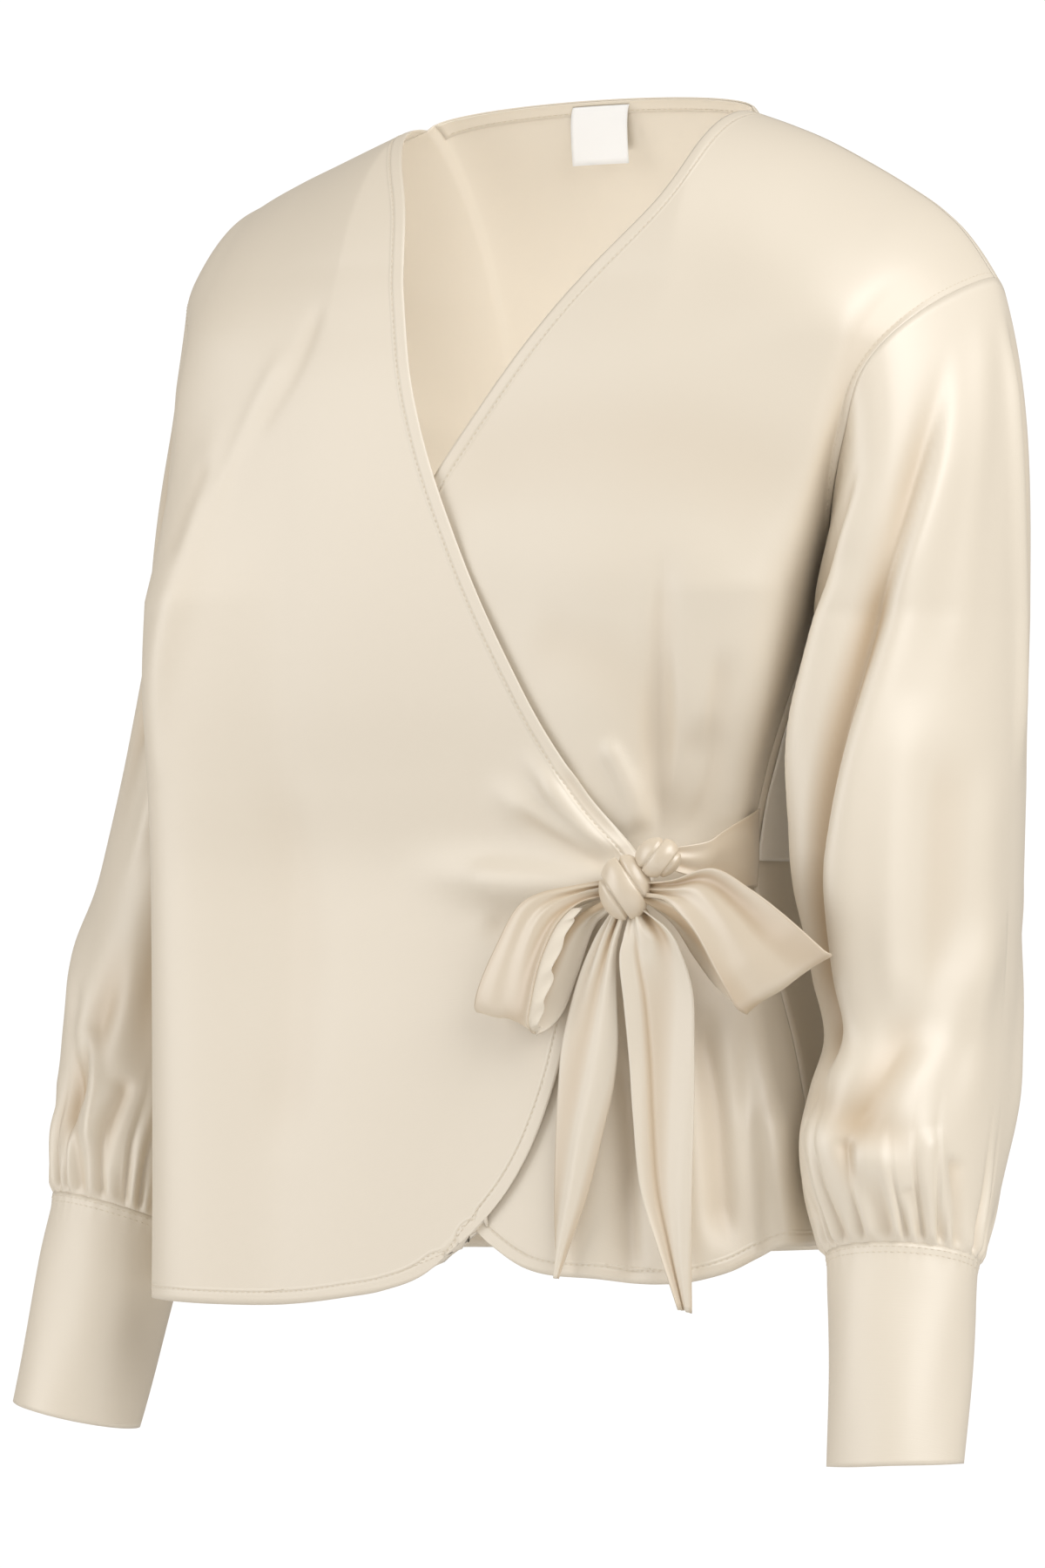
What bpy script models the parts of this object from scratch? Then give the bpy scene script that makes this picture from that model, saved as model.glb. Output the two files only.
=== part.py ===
"""A satin wrap blouse in the hollow form it has when worn, with nobody inside it.

Long full sleeves hang from a dropped shoulder and are gathered into deep cuffs. The right front
wraps over the left front and is tied in a bow at the wearer's left waist.

Sizes below are in millimetres and become metres when a mesh is made. +Z is up, the front faces -Y
and the wearer's left is +X ("near" below, the right side is "far"). The origin lies midway between
the two points where the shoulder seams meet the neck.
"""
import math

import bmesh
import bpy
import numpy as np

MM = 0.001
WALL = 1.2
HALF_SEAM = 0.25
OVERLAP_LIFT = 3.2

# The neck and the dropped shoulder.
NECK_X = 95.0
NECK_BACK_Y = 15.0
NECK_BACK_RISE = 13.0
SHOULDER_X = 234.0
RIDGE_NECK_Y = -4.0
RIDGE_TIP_Y = -12.0
NEAR_TIP_Z = -92.0
FAR_TIP_Z = -80.0
UNDERARM_Z = -250.0

# The shoulder seam's height at each distance from the middle.
SHOULDER_COLUMNS = ("x", "near_z", "far_z")
SHOULDER = (
    (95.0, 0.0, 0.0),
    (117.0, -8.0, -8.0),
    (135.0, -15.5, -14.5),
    (160.0, -28.5, -23.5),
    (184.0, -42.5, -34.0),
    (204.0, -56.0, -46.0),
    (215.0, -66.0, -62.0),
    (222.0, -74.5, FAR_TIP_Z),
    (234.0, NEAR_TIP_Z, -108.0),
)

# Half sections of the torso. The corner is where the cloth turns to the side, and the edge is the
# armhole above the underarm and the side seam below it. x counts outwards on either side.
SECTION_COLUMNS = ("z", "centre_y", "corner_x", "corner_y", "edge_x", "edge_y")
FRONT_NEAR = (
    (-604.0, -130.0, 166.0, -103.0, 168.0, -72.0),
    (-540.0, -128.0, 156.0, -100.0, 160.0, -68.0),
    (-480.0, -125.0, 143.0, -96.0, 149.0, -66.0),
    (-430.0, -121.0, 131.0, -90.0, 135.0, -66.0),
    (-385.0, -119.0, 123.0, -86.0, 125.0, -68.0),
    (-345.0, -124.0, 131.0, -89.0, 129.0, -62.0),
    (-300.0, -130.0, 146.0, -95.0, 138.0, -50.0),
    (-250.0, -132.0, 158.0, -98.0, 146.0, -22.0),
    (-215.0, -130.0, 168.0, -101.0, 166.0, -62.0),
    (-175.0, -125.0, 180.0, -103.0, 186.0, -88.0),
    (-140.0, -119.0, 186.0, -102.0, 200.0, -93.0),
    (-115.0, -113.0, 190.0, -100.0, 218.0, -82.0),
    (-92.0, -108.0, 192.0, -98.0, 234.0, -72.0),
)
FRONT_FAR = (
    (-604.0, -130.0, 199.0, -101.0, 192.0, -4.0),
    (-540.0, -128.0, 198.0, -100.0, 182.0, 0.0),
    (-480.0, -125.0, 198.0, -100.0, 180.0, 2.0),
    (-430.0, -121.0, 198.0, -100.0, 176.0, 4.0),
    (-385.0, -119.0, 198.0, -100.0, 170.0, 5.0),
    (-345.0, -124.0, 198.0, -101.0, 164.0, 6.0),
    (-300.0, -130.0, 198.0, -102.0, 156.0, 6.0),
    (-250.0, -132.0, 198.0, -102.0, 158.0, 2.0),
    (-215.0, -130.0, 196.0, -102.0, 182.0, -50.0),
    (-175.0, -125.0, 191.0, -100.0, 191.0, -76.0),
    (-140.0, -119.0, 189.0, -97.0, 195.0, -80.0),
    (-115.0, -113.0, 187.0, -92.0, 201.0, -68.0),
    (-80.0, -108.0, 185.0, -86.0, 222.0, -60.0),
)
BACK_NEAR = (
    (-604.0, 102.0, 188.0, 78.0, 168.0, -72.0),
    (-540.0, 97.0, 176.0, 72.0, 160.0, -68.0),
    (-480.0, 91.0, 162.0, 66.0, 149.0, -66.0),
    (-430.0, 86.0, 146.0, 60.0, 135.0, -66.0),
    (-385.0, 83.0, 136.0, 56.0, 125.0, -68.0),
    (-345.0, 86.0, 140.0, 58.0, 129.0, -62.0),
    (-300.0, 92.0, 150.0, 64.0, 138.0, -50.0),
    (-250.0, 98.0, 162.0, 72.0, 146.0, -22.0),
    (-215.0, 99.0, 172.0, 76.0, 172.0, 30.0),
    (-175.0, 97.0, 180.0, 78.0, 192.0, 52.0),
    (-140.0, 92.0, 184.0, 76.0, 208.0, 54.0),
    (-115.0, 86.0, 184.0, 70.0, 219.0, 43.0),
    (-92.0, 80.0, 184.0, 65.0, 234.0, 38.0),
)
BACK_FAR = (
    (-604.0, 102.0, 196.0, 82.0, 192.0, -4.0),
    (-540.0, 97.0, 190.0, 80.0, 182.0, 0.0),
    (-480.0, 91.0, 184.0, 78.0, 180.0, 2.0),
    (-430.0, 86.0, 178.0, 76.0, 176.0, 4.0),
    (-385.0, 83.0, 172.0, 76.0, 170.0, 5.0),
    (-345.0, 86.0, 168.0, 78.0, 164.0, 6.0),
    (-300.0, 92.0, 168.0, 82.0, 156.0, 6.0),
    (-250.0, 98.0, 174.0, 86.0, 158.0, 2.0),
    (-215.0, 99.0, 182.0, 86.0, 186.0, 44.0),
    (-175.0, 97.0, 186.0, 84.0, 197.0, 58.0),
    (-140.0, 92.0, 187.0, 79.0, 205.0, 55.0),
    (-115.0, 86.0, 186.0, 72.0, 210.0, 48.0),
    (-80.0, 80.0, 186.0, 65.0, 222.0, 38.0),
)
# Where the middle, the corner and the edge lie across a half section.
ACROSS = (-0.38, 0.0, 0.38, 0.78, 1.0)
MIDDLE_OF_CORNER = 0.53
MIDDLE_DEPTH = 0.985

# How far down the cloth rounds over the shoulder, at the neck and at the tip, and how slack it is
# there: 0 is a full round and 1 a gentle slope.
ROUND_NECK = 130.0
ROUND_TIP = 70.0
ROUND_BACK = 120.0
SHOULDER_SLACK = 0.5
BACK_NECK_SLACK = 0.85
ROUND_TIP_FROM = 10.0
SLACK_FROM = 40.0
# The overlapping front stands off the other from this far under the neck, over this stretch.
LIFT_FROM = 60.0
LIFT_FULL = 180.0

# Free edges of the fronts, down from the neck point: height and place across.
EDGE_COLUMNS = ("z", "x")
RIGHT_EDGE = (
    (-580.0, -12.0), (-566.0, 5.0), (-552.0, 18.0), (-534.0, 30.0), (-515.0, 39.0),
    (-495.0, 46.0), (-455.0, 56.0), (-429.0, 65.0), (-412.0, 76.0), (-398.0, 91.0),
    (-381.0, 84.0), (-349.0, 61.0), (-318.0, 41.0), (-285.0, 23.0), (-244.0, 2.0),
    (-216.0, -11.0), (-189.0, -23.0), (-151.0, -37.0), (-93.0, -53.0), (-41.0, -67.0),
    (-20.0, -80.0), (0.0, -95.0),
)
LEFT_EDGE = (
    (-575.0, 8.0), (-550.0, -20.0), (-500.0, -46.0), (-430.0, -66.0), (-381.0, -84.0),
    (-320.0, -75.0), (-250.0, -52.0), (-189.0, -23.0), (-146.0, 6.0), (-97.0, 42.0),
    (-47.0, 84.0), (0.0, 95.0),
)
# Hems, from one side to the other: place across and height.
HEM_COLUMNS = ("x", "z")
RIGHT_HEM = (
    (-199.0, -607.0), (-154.0, -609.0), (-103.0, -608.0), (-71.0, -604.0), (-49.0, -600.0),
    (-24.0, -590.0), (-12.0, -580.0),
)
LEFT_HEM = (
    (8.0, -575.0), (24.0, -585.0), (70.0, -592.0), (100.0, -594.0), (121.0, -592.0),
    (137.0, -587.0), (150.0, -580.0), (162.0, -575.0), (170.0, -577.0),
)
BACK_HEM_NEAR = -577.0
BACK_HEM_MIDDLE = -588.0
BACK_HEM_FAR = -607.0

# Folds of the torso as soft ridges (height over zero) and troughs (height under zero), each along a
# straight line from one end to the other: x and z of its first end, x and z of its other end, height
# and width.
FRONT_FOLDS = (
    (92.0, -375.0, 100.0, -285.0, -5.0, 8.0),
    (102.0, -372.0, 120.0, -322.0, -4.0, 8.0),
    (112.0, -455.0, 126.0, -600.0, 7.0, 11.0),
    (140.0, -470.0, 152.0, -600.0, -6.0, 9.0),
    (78.0, -480.0, 84.0, -600.0, -5.0, 12.0),
)
RIGHT_FOLDS = (
    (72.0, -386.0, 18.0, -352.0, 4.0, 8.0),
    (122.0, -400.0, -16.0, -391.0, 7.5, 12.0),
    (70.0, -372.0, 34.0, -336.0, 2.5, 6.0),
    (-158.0, -174.0, -186.0, -300.0, 3.0, 12.0),
)
BACK_FOLDS = (
    (118.0, -300.0, 40.0, -430.0, 5.0, 16.0),
    (128.0, -380.0, 70.0, -560.0, 7.0, 20.0),
    (-120.0, -250.0, -100.0, -600.0, 6.0, 24.0),
    (-10.0, -330.0, 10.0, -600.0, 5.0, 22.0),
)

# The arms' paths and the sleeves' half sizes, from underarm height to the cuff seam.
SLEEVE_COLUMNS = ("z", "x", "y", "half_x", "half_y")
SLEEVE_NEAR = (
    (-580.0, 220.0, -93.0, 39.0, 34.0),
    (-568.0, 218.0, -90.0, 42.0, 42.0),
    (-552.0, 215.0, -85.0, 46.0, 53.0),
    (-525.0, 212.0, -76.0, 48.5, 61.0),
    (-500.0, 212.0, -66.0, 47.0, 62.0),
    (-475.0, 212.0, -56.0, 44.0, 60.0),
    (-440.0, 207.0, -50.0, 48.0, 66.0),
    (-400.0, 203.0, -46.0, 52.0, 71.0),
    (-341.0, 200.0, -40.0, 54.0, 74.0),
    (-262.0, 202.0, -30.0, 50.0, 71.0),
)
SLEEVE_FAR = (
    (-568.0, 252.0, -50.0, 39.0, 34.0),
    (-556.0, 251.0, -45.0, 42.0, 42.0),
    (-540.0, 250.0, -36.0, 46.0, 53.0),
    (-512.0, 247.0, -20.0, 49.0, 61.0),
    (-475.0, 248.0, -5.0, 51.0, 64.0),
    (-440.0, 247.0, 6.0, 53.0, 68.0),
    (-400.0, 241.0, 16.0, 54.0, 70.0),
    (-341.0, 230.0, 23.0, 53.0, 71.0),
    (-262.0, 219.0, 25.0, 48.0, 67.0),
)
CAP_Z = -262.0
CAP_SEAM_GAP = 1.0
CAP_FULLNESS_NEAR = 0.2
CAP_FULLNESS_FAR = 0.0
# A cuff's top and bottom rings: x, y, z, half width and half depth.
CUFF_NEAR = ((220.0, -93.0, -580.0, 39.0, 34.0), (230.0, -122.0, -679.0, 34.0, 31.0))
CUFF_FAR = ((252.0, -50.0, -568.0, 39.0, 34.0), (262.0, -82.0, -671.0, 34.0, 31.0))
CUFF_EASE = 0.8
# How much the cuff's rings rise on their outer side, and the share of its forward tilt at its bottom.
CUFF_ROLL_NEAR = 0.05
CUFF_ROLL_FAR = 0.2
CUFF_BOTTOM_TILT = 0.15

# Folds of a sleeve in the same columns, with degrees round it (0 outwards, 90 front, 180 inwards) in
# place of x.
NEAR_SLEEVE_FOLDS = (
    (52.0, -120.0, 76.0, -250.0, -4.0, 9.0),
    (76.0, -250.0, 118.0, -400.0, -7.0, 10.0),
    (118.0, -400.0, 122.0, -480.0, -6.0, 12.0),
    (95.0, -205.0, 132.0, -340.0, 5.0, 10.0),
    (60.0, -470.0, 100.0, -545.0, -5.0, 14.0),
    (10.0, -420.0, 60.0, -500.0, 4.0, 16.0),
    (240.0, -280.0, 270.0, -470.0, -6.0, 16.0),
    (300.0, -380.0, 330.0, -520.0, 5.0, 14.0),
)
FAR_SLEEVE_FOLDS = (
    (60.0, -130.0, 60.0, -330.0, -4.0, 11.0),
    (30.0, -410.0, 64.0, -500.0, 5.0, 14.0),
    (86.0, -440.0, 60.0, -545.0, -5.0, 12.0),
    (120.0, -320.0, 110.0, -480.0, -5.0, 14.0),
    (235.0, -260.0, 270.0, -460.0, -6.0, 16.0),
    (305.0, -360.0, 330.0, -510.0, 5.0, 14.0),
)
GATHERS = 24  # twice the rows above the underarm, so that armhole points fall together
GATHER_DEPTH = 1.7
GATHER_REACH = 42.0

# Mesh counts. Rows crowd towards the shoulder seam by this power, and the sleeves' points at the
# armhole are those of the fronts and the back.
ROW_CROWDING = 1.7
FRONT_ROWS_TOP = 12
FRONT_ROWS_LOW = 15
FRONT_COLUMNS = 18
BACK_ROWS_LOW = 10
BACK_COLUMNS = 24
SLEEVE_CAP_ROWS = 6
SLEEVE_UPPER_ROWS = 8
SLEEVE_LOWER_ROWS = 6
SLEEVE_LOW_START = -500.0
LEAN_FROM = 430.0
CUFF_AROUND = 32
CUFF_LEVELS = 3

# The neck's finish.
BINDING_HEIGHT = 6.0
LABEL_WIDTH = 33.0
LABEL_HEIGHT = 24.0
LABEL_X = -3.0
LABEL_WALL = 1.0
FACING_TOP_Z = -262.0
FACING_LOW_Z = -384.0
FACING_COLUMNS_WIDE = 2.0
FACING_WALL = 1.0

# The bow's knot: a main turn and an upper one, as half sizes, and the reach within which it rests on
# the right front.
KNOT_X = 89.0
KNOT_Z = -398.0
KNOT_HALF = (13.5, 10.5, 16.0)
KNOT_TOP_SHIFT = (18.0, 1.0, 15.0)
KNOT_TOP_HALF = (12.0, 8.5, 10.0)
KNOT_SEAT_REACH = 14.0
KNOT_AROUND = 14
KNOT_LEVELS = 9
SEAT_GAP = 0.7
TIE_WALL = 1.2
# Each tie is a ribbon between two edge lines: x, y and z on one edge, then on the other, from one end to
# the other. The strap runs from the side seam to the knot; the others start at the knot.
STRAP = (
    (129.6, -67.0, -358.0, 129.2, -69.0, -397.0),
    (132.0, -80.0, -361.0, 130.0, -80.0, -397.0),
    (131.0, -93.0, -365.0, 128.0, -93.0, -397.0),
    (128.0, -105.0, -370.0, 125.0, -105.0, -396.0),
    (124.0, -115.0, -375.0, 122.0, -115.0, -394.0),
    (119.0, -123.0, -379.0, 118.0, -123.0, -390.0),
)
LOOP_INNER = (
    (77.0, -135.0, -394.5, 77.0, -135.5, -401.0),
    (62.0, -141.0, -397.0, 68.0, -142.0, -404.0),
    (46.0, -146.0, -400.5, 60.0, -147.0, -411.0),
    (34.0, -148.0, -408.0, 54.0, -150.0, -421.0),
    (23.5, -149.0, -426.0, 48.0, -152.0, -437.0),
    (14.5, -149.0, -444.0, 44.0, -152.0, -454.0),
    (10.0, -147.0, -456.0, 41.5, -150.0, -465.0),
    (9.5, -142.0, -460.0, 42.0, -143.5, -470.0),
    (12.0, -136.5, -458.0, 46.0, -137.0, -468.0),
    (18.0, -133.5, -450.0, 53.0, -133.0, -459.0),
    (28.0, -132.0, -436.0, 60.0, -131.5, -441.0),
    (40.0, -131.0, -421.0, 66.0, -131.0, -424.0),
    (58.0, -131.0, -409.0, 71.0, -132.0, -415.0),
    (77.0, -132.5, -404.0, 78.0, -133.0, -410.0),
)
LOOP_OUTER = (
    (104.0, -137.0, -396.0, 104.0, -138.0, -403.0),
    (119.0, -143.0, -394.0, 114.0, -144.0, -404.0),
    (143.0, -147.0, -388.5, 124.0, -148.0, -410.0),
    (164.0, -148.0, -399.0, 135.0, -150.0, -421.0),
    (180.0, -148.0, -410.0, 145.5, -151.0, -438.0),
    (192.0, -148.0, -419.5, 151.0, -151.0, -447.0),
    (203.0, -146.0, -429.5, 156.5, -149.0, -457.0),
    (205.0, -141.0, -432.0, 158.5, -142.0, -460.5),
    (201.0, -136.0, -432.0, 156.0, -135.0, -460.0),
    (190.0, -133.0, -425.0, 147.0, -132.0, -454.0),
    (172.0, -131.0, -413.0, 135.0, -129.5, -445.0),
    (150.0, -130.0, -402.0, 123.0, -128.5, -431.0),
    (122.0, -130.0, -400.0, 112.0, -129.0, -416.0),
    (106.0, -131.5, -401.0, 105.0, -131.5, -407.0),
)
TAIL_FRONT = (
    (95.0, -136.0, -416.0, 102.0, -136.0, -413.0),
    (90.0, -140.0, -423.0, 115.0, -140.0, -418.0),
    (88.5, -141.0, -434.0, 123.0, -141.0, -430.0),
    (91.0, -141.0, -455.0, 129.0, -140.0, -450.0),
    (94.0, -141.0, -483.0, 129.5, -140.0, -478.0),
    (96.5, -142.0, -510.0, 129.0, -140.0, -507.0),
    (100.5, -142.0, -546.0, 128.0, -141.0, -546.0),
    (110.5, -142.0, -576.0, 127.3, -141.0, -578.0),
    (121.5, -141.0, -605.0, 126.6, -141.0, -607.0),
)
TAIL_BACK = (
    (80.0, -133.5, -415.0, 86.0, -133.5, -417.0),
    (73.0, -136.0, -423.0, 84.5, -136.0, -428.0),
    (63.5, -137.0, -444.0, 84.5, -136.5, -447.0),
    (55.5, -138.0, -473.0, 85.5, -137.0, -474.0),
    (52.5, -138.0, -497.0, 83.5, -137.5, -495.0),
    (50.7, -138.0, -520.0, 78.0, -138.0, -518.0),
    (49.6, -138.0, -552.0, 69.0, -138.0, -550.0),
    (49.8, -138.0, -575.0, 60.0, -138.0, -574.0),
    (51.0, -138.0, -591.0, 53.5, -138.0, -592.0),
)
# How far each ribbon is cupped across its width, and which of its faces shows.
RIBBON_CUP = {"tie_strap": 0.0, "tie_loop_inner": 2.0, "tie_loop_outer": -2.0,
              "tie_tail_front": 2.0, "tie_tail_back": -2.0}
RIBBON_FLIP = {"tie_strap": False, "tie_loop_inner": False, "tie_loop_outer": True,
               "tie_tail_front": False, "tie_tail_back": False}

MATERIALS = {
    "satin": ((0.80, 0.72, 0.60), 0.34),
    "satin_tie": ((0.79, 0.71, 0.59), 0.34),
    "satin_inside": ((0.76, 0.69, 0.60), 0.62),
    "label_white": ((0.82, 0.83, 0.84), 0.70),
}


def curve_through(knots, values, at):
    """A smooth curve through one value for each knot, held level past both ends."""
    at = np.asarray(at, float)
    knots = np.asarray(knots, float)
    values = np.stack([np.broadcast_to(value, at.shape) for value in values])
    slopes = np.gradient(values, knots, axis=0)
    at = np.clip(at, knots[0], knots[-1])
    low = np.clip(np.searchsorted(knots, at, side="right") - 1, 0, len(knots) - 2)
    span = knots[low + 1] - knots[low]
    part = (at - knots[low]) / span

    def take(rows, index):
        return np.take_along_axis(rows, index[None], 0)[0]

    return (
        (2 * part**3 - 3 * part**2 + 1) * take(values, low)
        + (part**3 - 2 * part**2 + part) * span * take(slopes, low)
        + (3 * part**2 - 2 * part**3) * take(values, low + 1)
        + (part**3 - part**2) * span * take(slopes, low + 1)
    )


def column(table, columns, name, at):
    """A named column of a table, at values of its first column."""
    knots = [row[0] for row in table]
    return curve_through(knots, [row[columns.index(name)] for row in table], at)


def soft_step(value, low, high):
    """0 up to low, 1 from high on, and smooth between."""
    part = np.clip((np.asarray(value, float) - low) / (high - low), 0, 1)
    return part * part * (3 - 2 * part)


def edge_column(table, name, z):
    """The section's edge, whose side seam and armhole meet at an angle at the underarm."""
    seam = [row for row in table if row[0] <= UNDERARM_Z]
    hole = [row for row in table if row[0] >= UNDERARM_Z]
    below = column(seam, SECTION_COLUMNS, name, z)
    above = column(hole, SECTION_COLUMNS, name, z)
    return np.where(z <= UNDERARM_Z, below, above)


def half_section(table, across, z):
    """x (outwards) and y of a half section, at 0 in the middle to 1 on its edge."""
    centre = column(table, SECTION_COLUMNS, "centre_y", z)
    corner_x = column(table, SECTION_COLUMNS, "corner_x", z)
    corner_y = column(table, SECTION_COLUMNS, "corner_y", z)
    edge_x = edge_column(table, "edge_x", z)
    edge_y = edge_column(table, "edge_y", z)
    middle_x = MIDDLE_OF_CORNER * corner_x
    middle_y = MIDDLE_DEPTH * centre
    x = curve_through(ACROSS, (-middle_x, 0 * z, middle_x, corner_x, edge_x), across)
    y = curve_through(ACROSS, (middle_y, centre, middle_y, corner_y, edge_y), across)
    return x, y


def section(near, far, across, z):
    """x and y of the torso at -1 (far edge) to 1 (near edge) across, before the shoulder's rounding."""
    near_x, near_y = half_section(near, np.abs(across), z)
    far_x, far_y = half_section(far, np.abs(across), z)
    side = across >= 0
    return np.where(side, near_x, -far_x), np.where(side, near_y, far_y)


def shoulder_height(x):
    """Height of the shoulder seam above a place across; level inside the neck."""
    near = column(SHOULDER, SHOULDER_COLUMNS, "near_z", np.abs(x))
    far = column(SHOULDER, SHOULDER_COLUMNS, "far_z", np.abs(x))
    return np.where(x >= 0, near, far)


def shoulder_depth(x):
    """y of the shoulder seam, which runs a little forward towards its tip."""
    part = np.clip((np.abs(x) - NECK_X) / (SHOULDER_X - NECK_X), 0, 1)
    return RIDGE_NECK_Y + (RIDGE_TIP_Y - RIDGE_NECK_Y) * part


def round_over(x, y, z, top_y, top_z, reach, slack):
    """Draws y in towards the top line, as cloth rounding over a shoulder (slack 0) or a neck (1)."""
    part = np.clip((top_z - z) / reach, 0, 1)
    circle = np.sqrt(np.clip(1 - (1 - part) ** 2, 0, 1))
    slope = np.sin(part * math.pi / 2)
    return top_y + (y - top_y) * (circle * (1 - slack) + slope * slack)


def front_surface(across, z):
    """The torso's front as points, at each place across and height."""
    x, y = section(FRONT_NEAR, FRONT_FAR, across, z)
    reach = ROUND_NECK + (ROUND_TIP - ROUND_NECK) * soft_step(np.abs(x), NECK_X, SHOULDER_X - ROUND_TIP_FROM)
    slack = SHOULDER_SLACK * soft_step(np.abs(x), NECK_X, SHOULDER_X - SLACK_FROM)
    y = round_over(x, y, z, shoulder_depth(x), shoulder_height(x), reach, slack)
    return np.stack([x, y, z], axis=-1)


def neck_curve(x):
    """y and z of the torso's top line at the back: the neck's arc, then the shoulder seams."""
    inside = np.sqrt(np.clip(1 - (x / NECK_X) ** 2, 0, 1))
    y = shoulder_depth(x) + (NECK_BACK_Y - RIDGE_NECK_Y) * inside
    return y, shoulder_height(x) + NECK_BACK_RISE * inside**0.9


def back_surface(across, z):
    """The torso's back as points, at each place across and height."""
    x, y = section(BACK_NEAR, BACK_FAR, across, z)
    top_y, top_z = neck_curve(x)
    reach = ROUND_BACK + (ROUND_TIP - ROUND_BACK) * soft_step(np.abs(x), NECK_X, SHOULDER_X - ROUND_TIP_FROM)
    towards_tip = soft_step(np.abs(x), NECK_X * 0.6, NECK_X * 1.3)
    slack = BACK_NECK_SLACK + (SHOULDER_SLACK - BACK_NECK_SLACK) * towards_tip
    y = round_over(x, y, z, top_y, top_z, reach, slack)
    return np.stack([x, y, z], axis=-1)


def across_at(near, far, x, z):
    """The place across, -0.8 to 0.8, where a section has this x."""
    trial = np.linspace(-0.8, 0.8, 161)
    found = []
    for one_x, one_z in zip(np.atleast_1d(x), np.atleast_1d(z)):
        xs, _ = section(near, far, trial, np.full(trial.shape, one_z))
        found.append(np.interp(one_x, xs, trial))
    return np.array(found)


def normals_of(grid):
    """Unit normals of a grid of points (rows down, columns across)."""
    down = np.gradient(grid, axis=0)
    over = np.gradient(grid, axis=1)
    normal = np.cross(over, down)
    return normal / np.maximum(np.linalg.norm(normal, axis=-1, keepdims=True), 1e-9)


def fold_height(folds, u, v, u_scale=1.0, end=0.25):
    """Summed height of straight folds at places (u, v); u_scale turns u into millimetres."""
    total = np.zeros(np.shape(u))
    for u0, v0, u1, v1, height, width in folds:
        du, dv = (u1 - u0) * u_scale, v1 - v0
        pu, pv = (u - u0) * u_scale, v - v0
        length = math.hypot(du, dv)
        along = (pu * du + pv * dv) / length**2
        off = np.abs(pu * dv - pv * du) / length
        taper = soft_step(along, -end, end) * (1 - soft_step(along, 1 - end, 1 + end))
        total = total + height * taper * np.exp(-((off / width) ** 2))
    return total


def front_grid(right, rows_top=FRONT_ROWS_TOP, rows_low=FRONT_ROWS_LOW, columns=FRONT_COLUMNS):
    """Outer points of a front: rows from shoulder to hem, columns from the wrap edge to the side."""
    side = -1.0 if right else 1.0
    edge = RIGHT_EDGE if right else LEFT_EDGE
    hem = RIGHT_HEM if right else LEFT_HEM
    share = np.linspace(0, 1, columns + 1)
    neck = across_at(FRONT_NEAR, FRONT_FAR, side * NECK_X, 0.0)[0]
    shoulder_across = neck + (side - neck) * share
    shoulder_x, _ = section(FRONT_NEAR, FRONT_FAR, shoulder_across, 0 * share)
    top_z = shoulder_height(shoulder_x)
    corner = edge[0]
    low = across_at(FRONT_NEAR, FRONT_FAR, corner[1], corner[0])[0]
    hem_across = low + (side - low) * share
    hem_x, _ = section(FRONT_NEAR, FRONT_FAR, hem_across, np.full(share.shape, corner[0]))
    hem_z = column(hem, HEM_COLUMNS, "z", hem_x)
    crowded = np.linspace(0, 1, rows_top + 1) ** ROW_CROWDING
    heights = [top_z + (UNDERARM_Z - top_z) * part for part in crowded]
    heights += [UNDERARM_Z + (hem_z - UNDERARM_Z) * part
                for part in np.linspace(0, 1, rows_low + 1)[1:]]
    z = np.array(heights)
    edge_x = column(edge, EDGE_COLUMNS, "x", z[:, 0])
    start = across_at(FRONT_NEAR, FRONT_FAR, edge_x, z[:, 0])
    across = start[:, None] + (side - start)[:, None] * share[None, :]
    grid = front_surface(across, z)
    out = -normals_of(grid) * side
    below = soft_step(-z, LIFT_FROM, LIFT_FULL)
    inward = 1 - soft_step(np.abs(across), 0.6, 0.95)
    at_side = soft_step(1 - np.abs(across), 0.0, 0.12)
    lift = fold_height(FRONT_FOLDS, grid[..., 0], z) * at_side
    if right:
        own = fold_height(RIGHT_FOLDS, grid[..., 0], z) * at_side
        lift = lift * soft_step(grid[..., 0], 40.0, 80.0) + own
        lift = lift + OVERLAP_LIFT * below * np.where(across < 0, inward, 1.0)
    grid = grid + out * lift[..., None]
    grid[0, :, 1] -= HALF_SEAM
    grid[rows_top:, -1, 1] -= HALF_SEAM
    return grid


def back_grid(rows_top=FRONT_ROWS_TOP, rows_low=BACK_ROWS_LOW, columns=BACK_COLUMNS):
    """Outer points of the back: rows from neck and shoulders to hem, columns from far to near."""
    across_row = np.linspace(-1, 1, columns + 1)
    top_x, _ = section(BACK_NEAR, BACK_FAR, across_row, 0 * across_row)
    _, top_z = neck_curve(top_x)
    near = soft_step(across_row, 0.0, 1.0)
    far = soft_step(-across_row, 0.45, 1.0)
    hem_z = (BACK_HEM_MIDDLE + (BACK_HEM_NEAR - BACK_HEM_MIDDLE) * near
             + (BACK_HEM_FAR - BACK_HEM_MIDDLE) * far)
    crowded = np.linspace(0, 1, rows_top + 1) ** ROW_CROWDING
    heights = [top_z + (UNDERARM_Z - top_z) * part for part in crowded]
    heights += [UNDERARM_Z + (hem_z - UNDERARM_Z) * part
                for part in np.linspace(0, 1, rows_low + 1)[1:]]
    z = np.array(heights)
    across = np.broadcast_to(across_row, z.shape)
    grid = back_surface(across, z)
    out = normals_of(grid)
    lift = fold_height(BACK_FOLDS, grid[..., 0], z, end=0.35)
    lift = lift * soft_step(1 - np.abs(across), 0.0, 0.25)
    grid = grid + out * lift[..., None]
    shoulders = np.abs(top_x) >= NECK_X - 1.0
    grid[0, shoulders, 1] += HALF_SEAM
    grid[rows_top:, [0, -1], 1] += HALF_SEAM
    return grid


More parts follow.
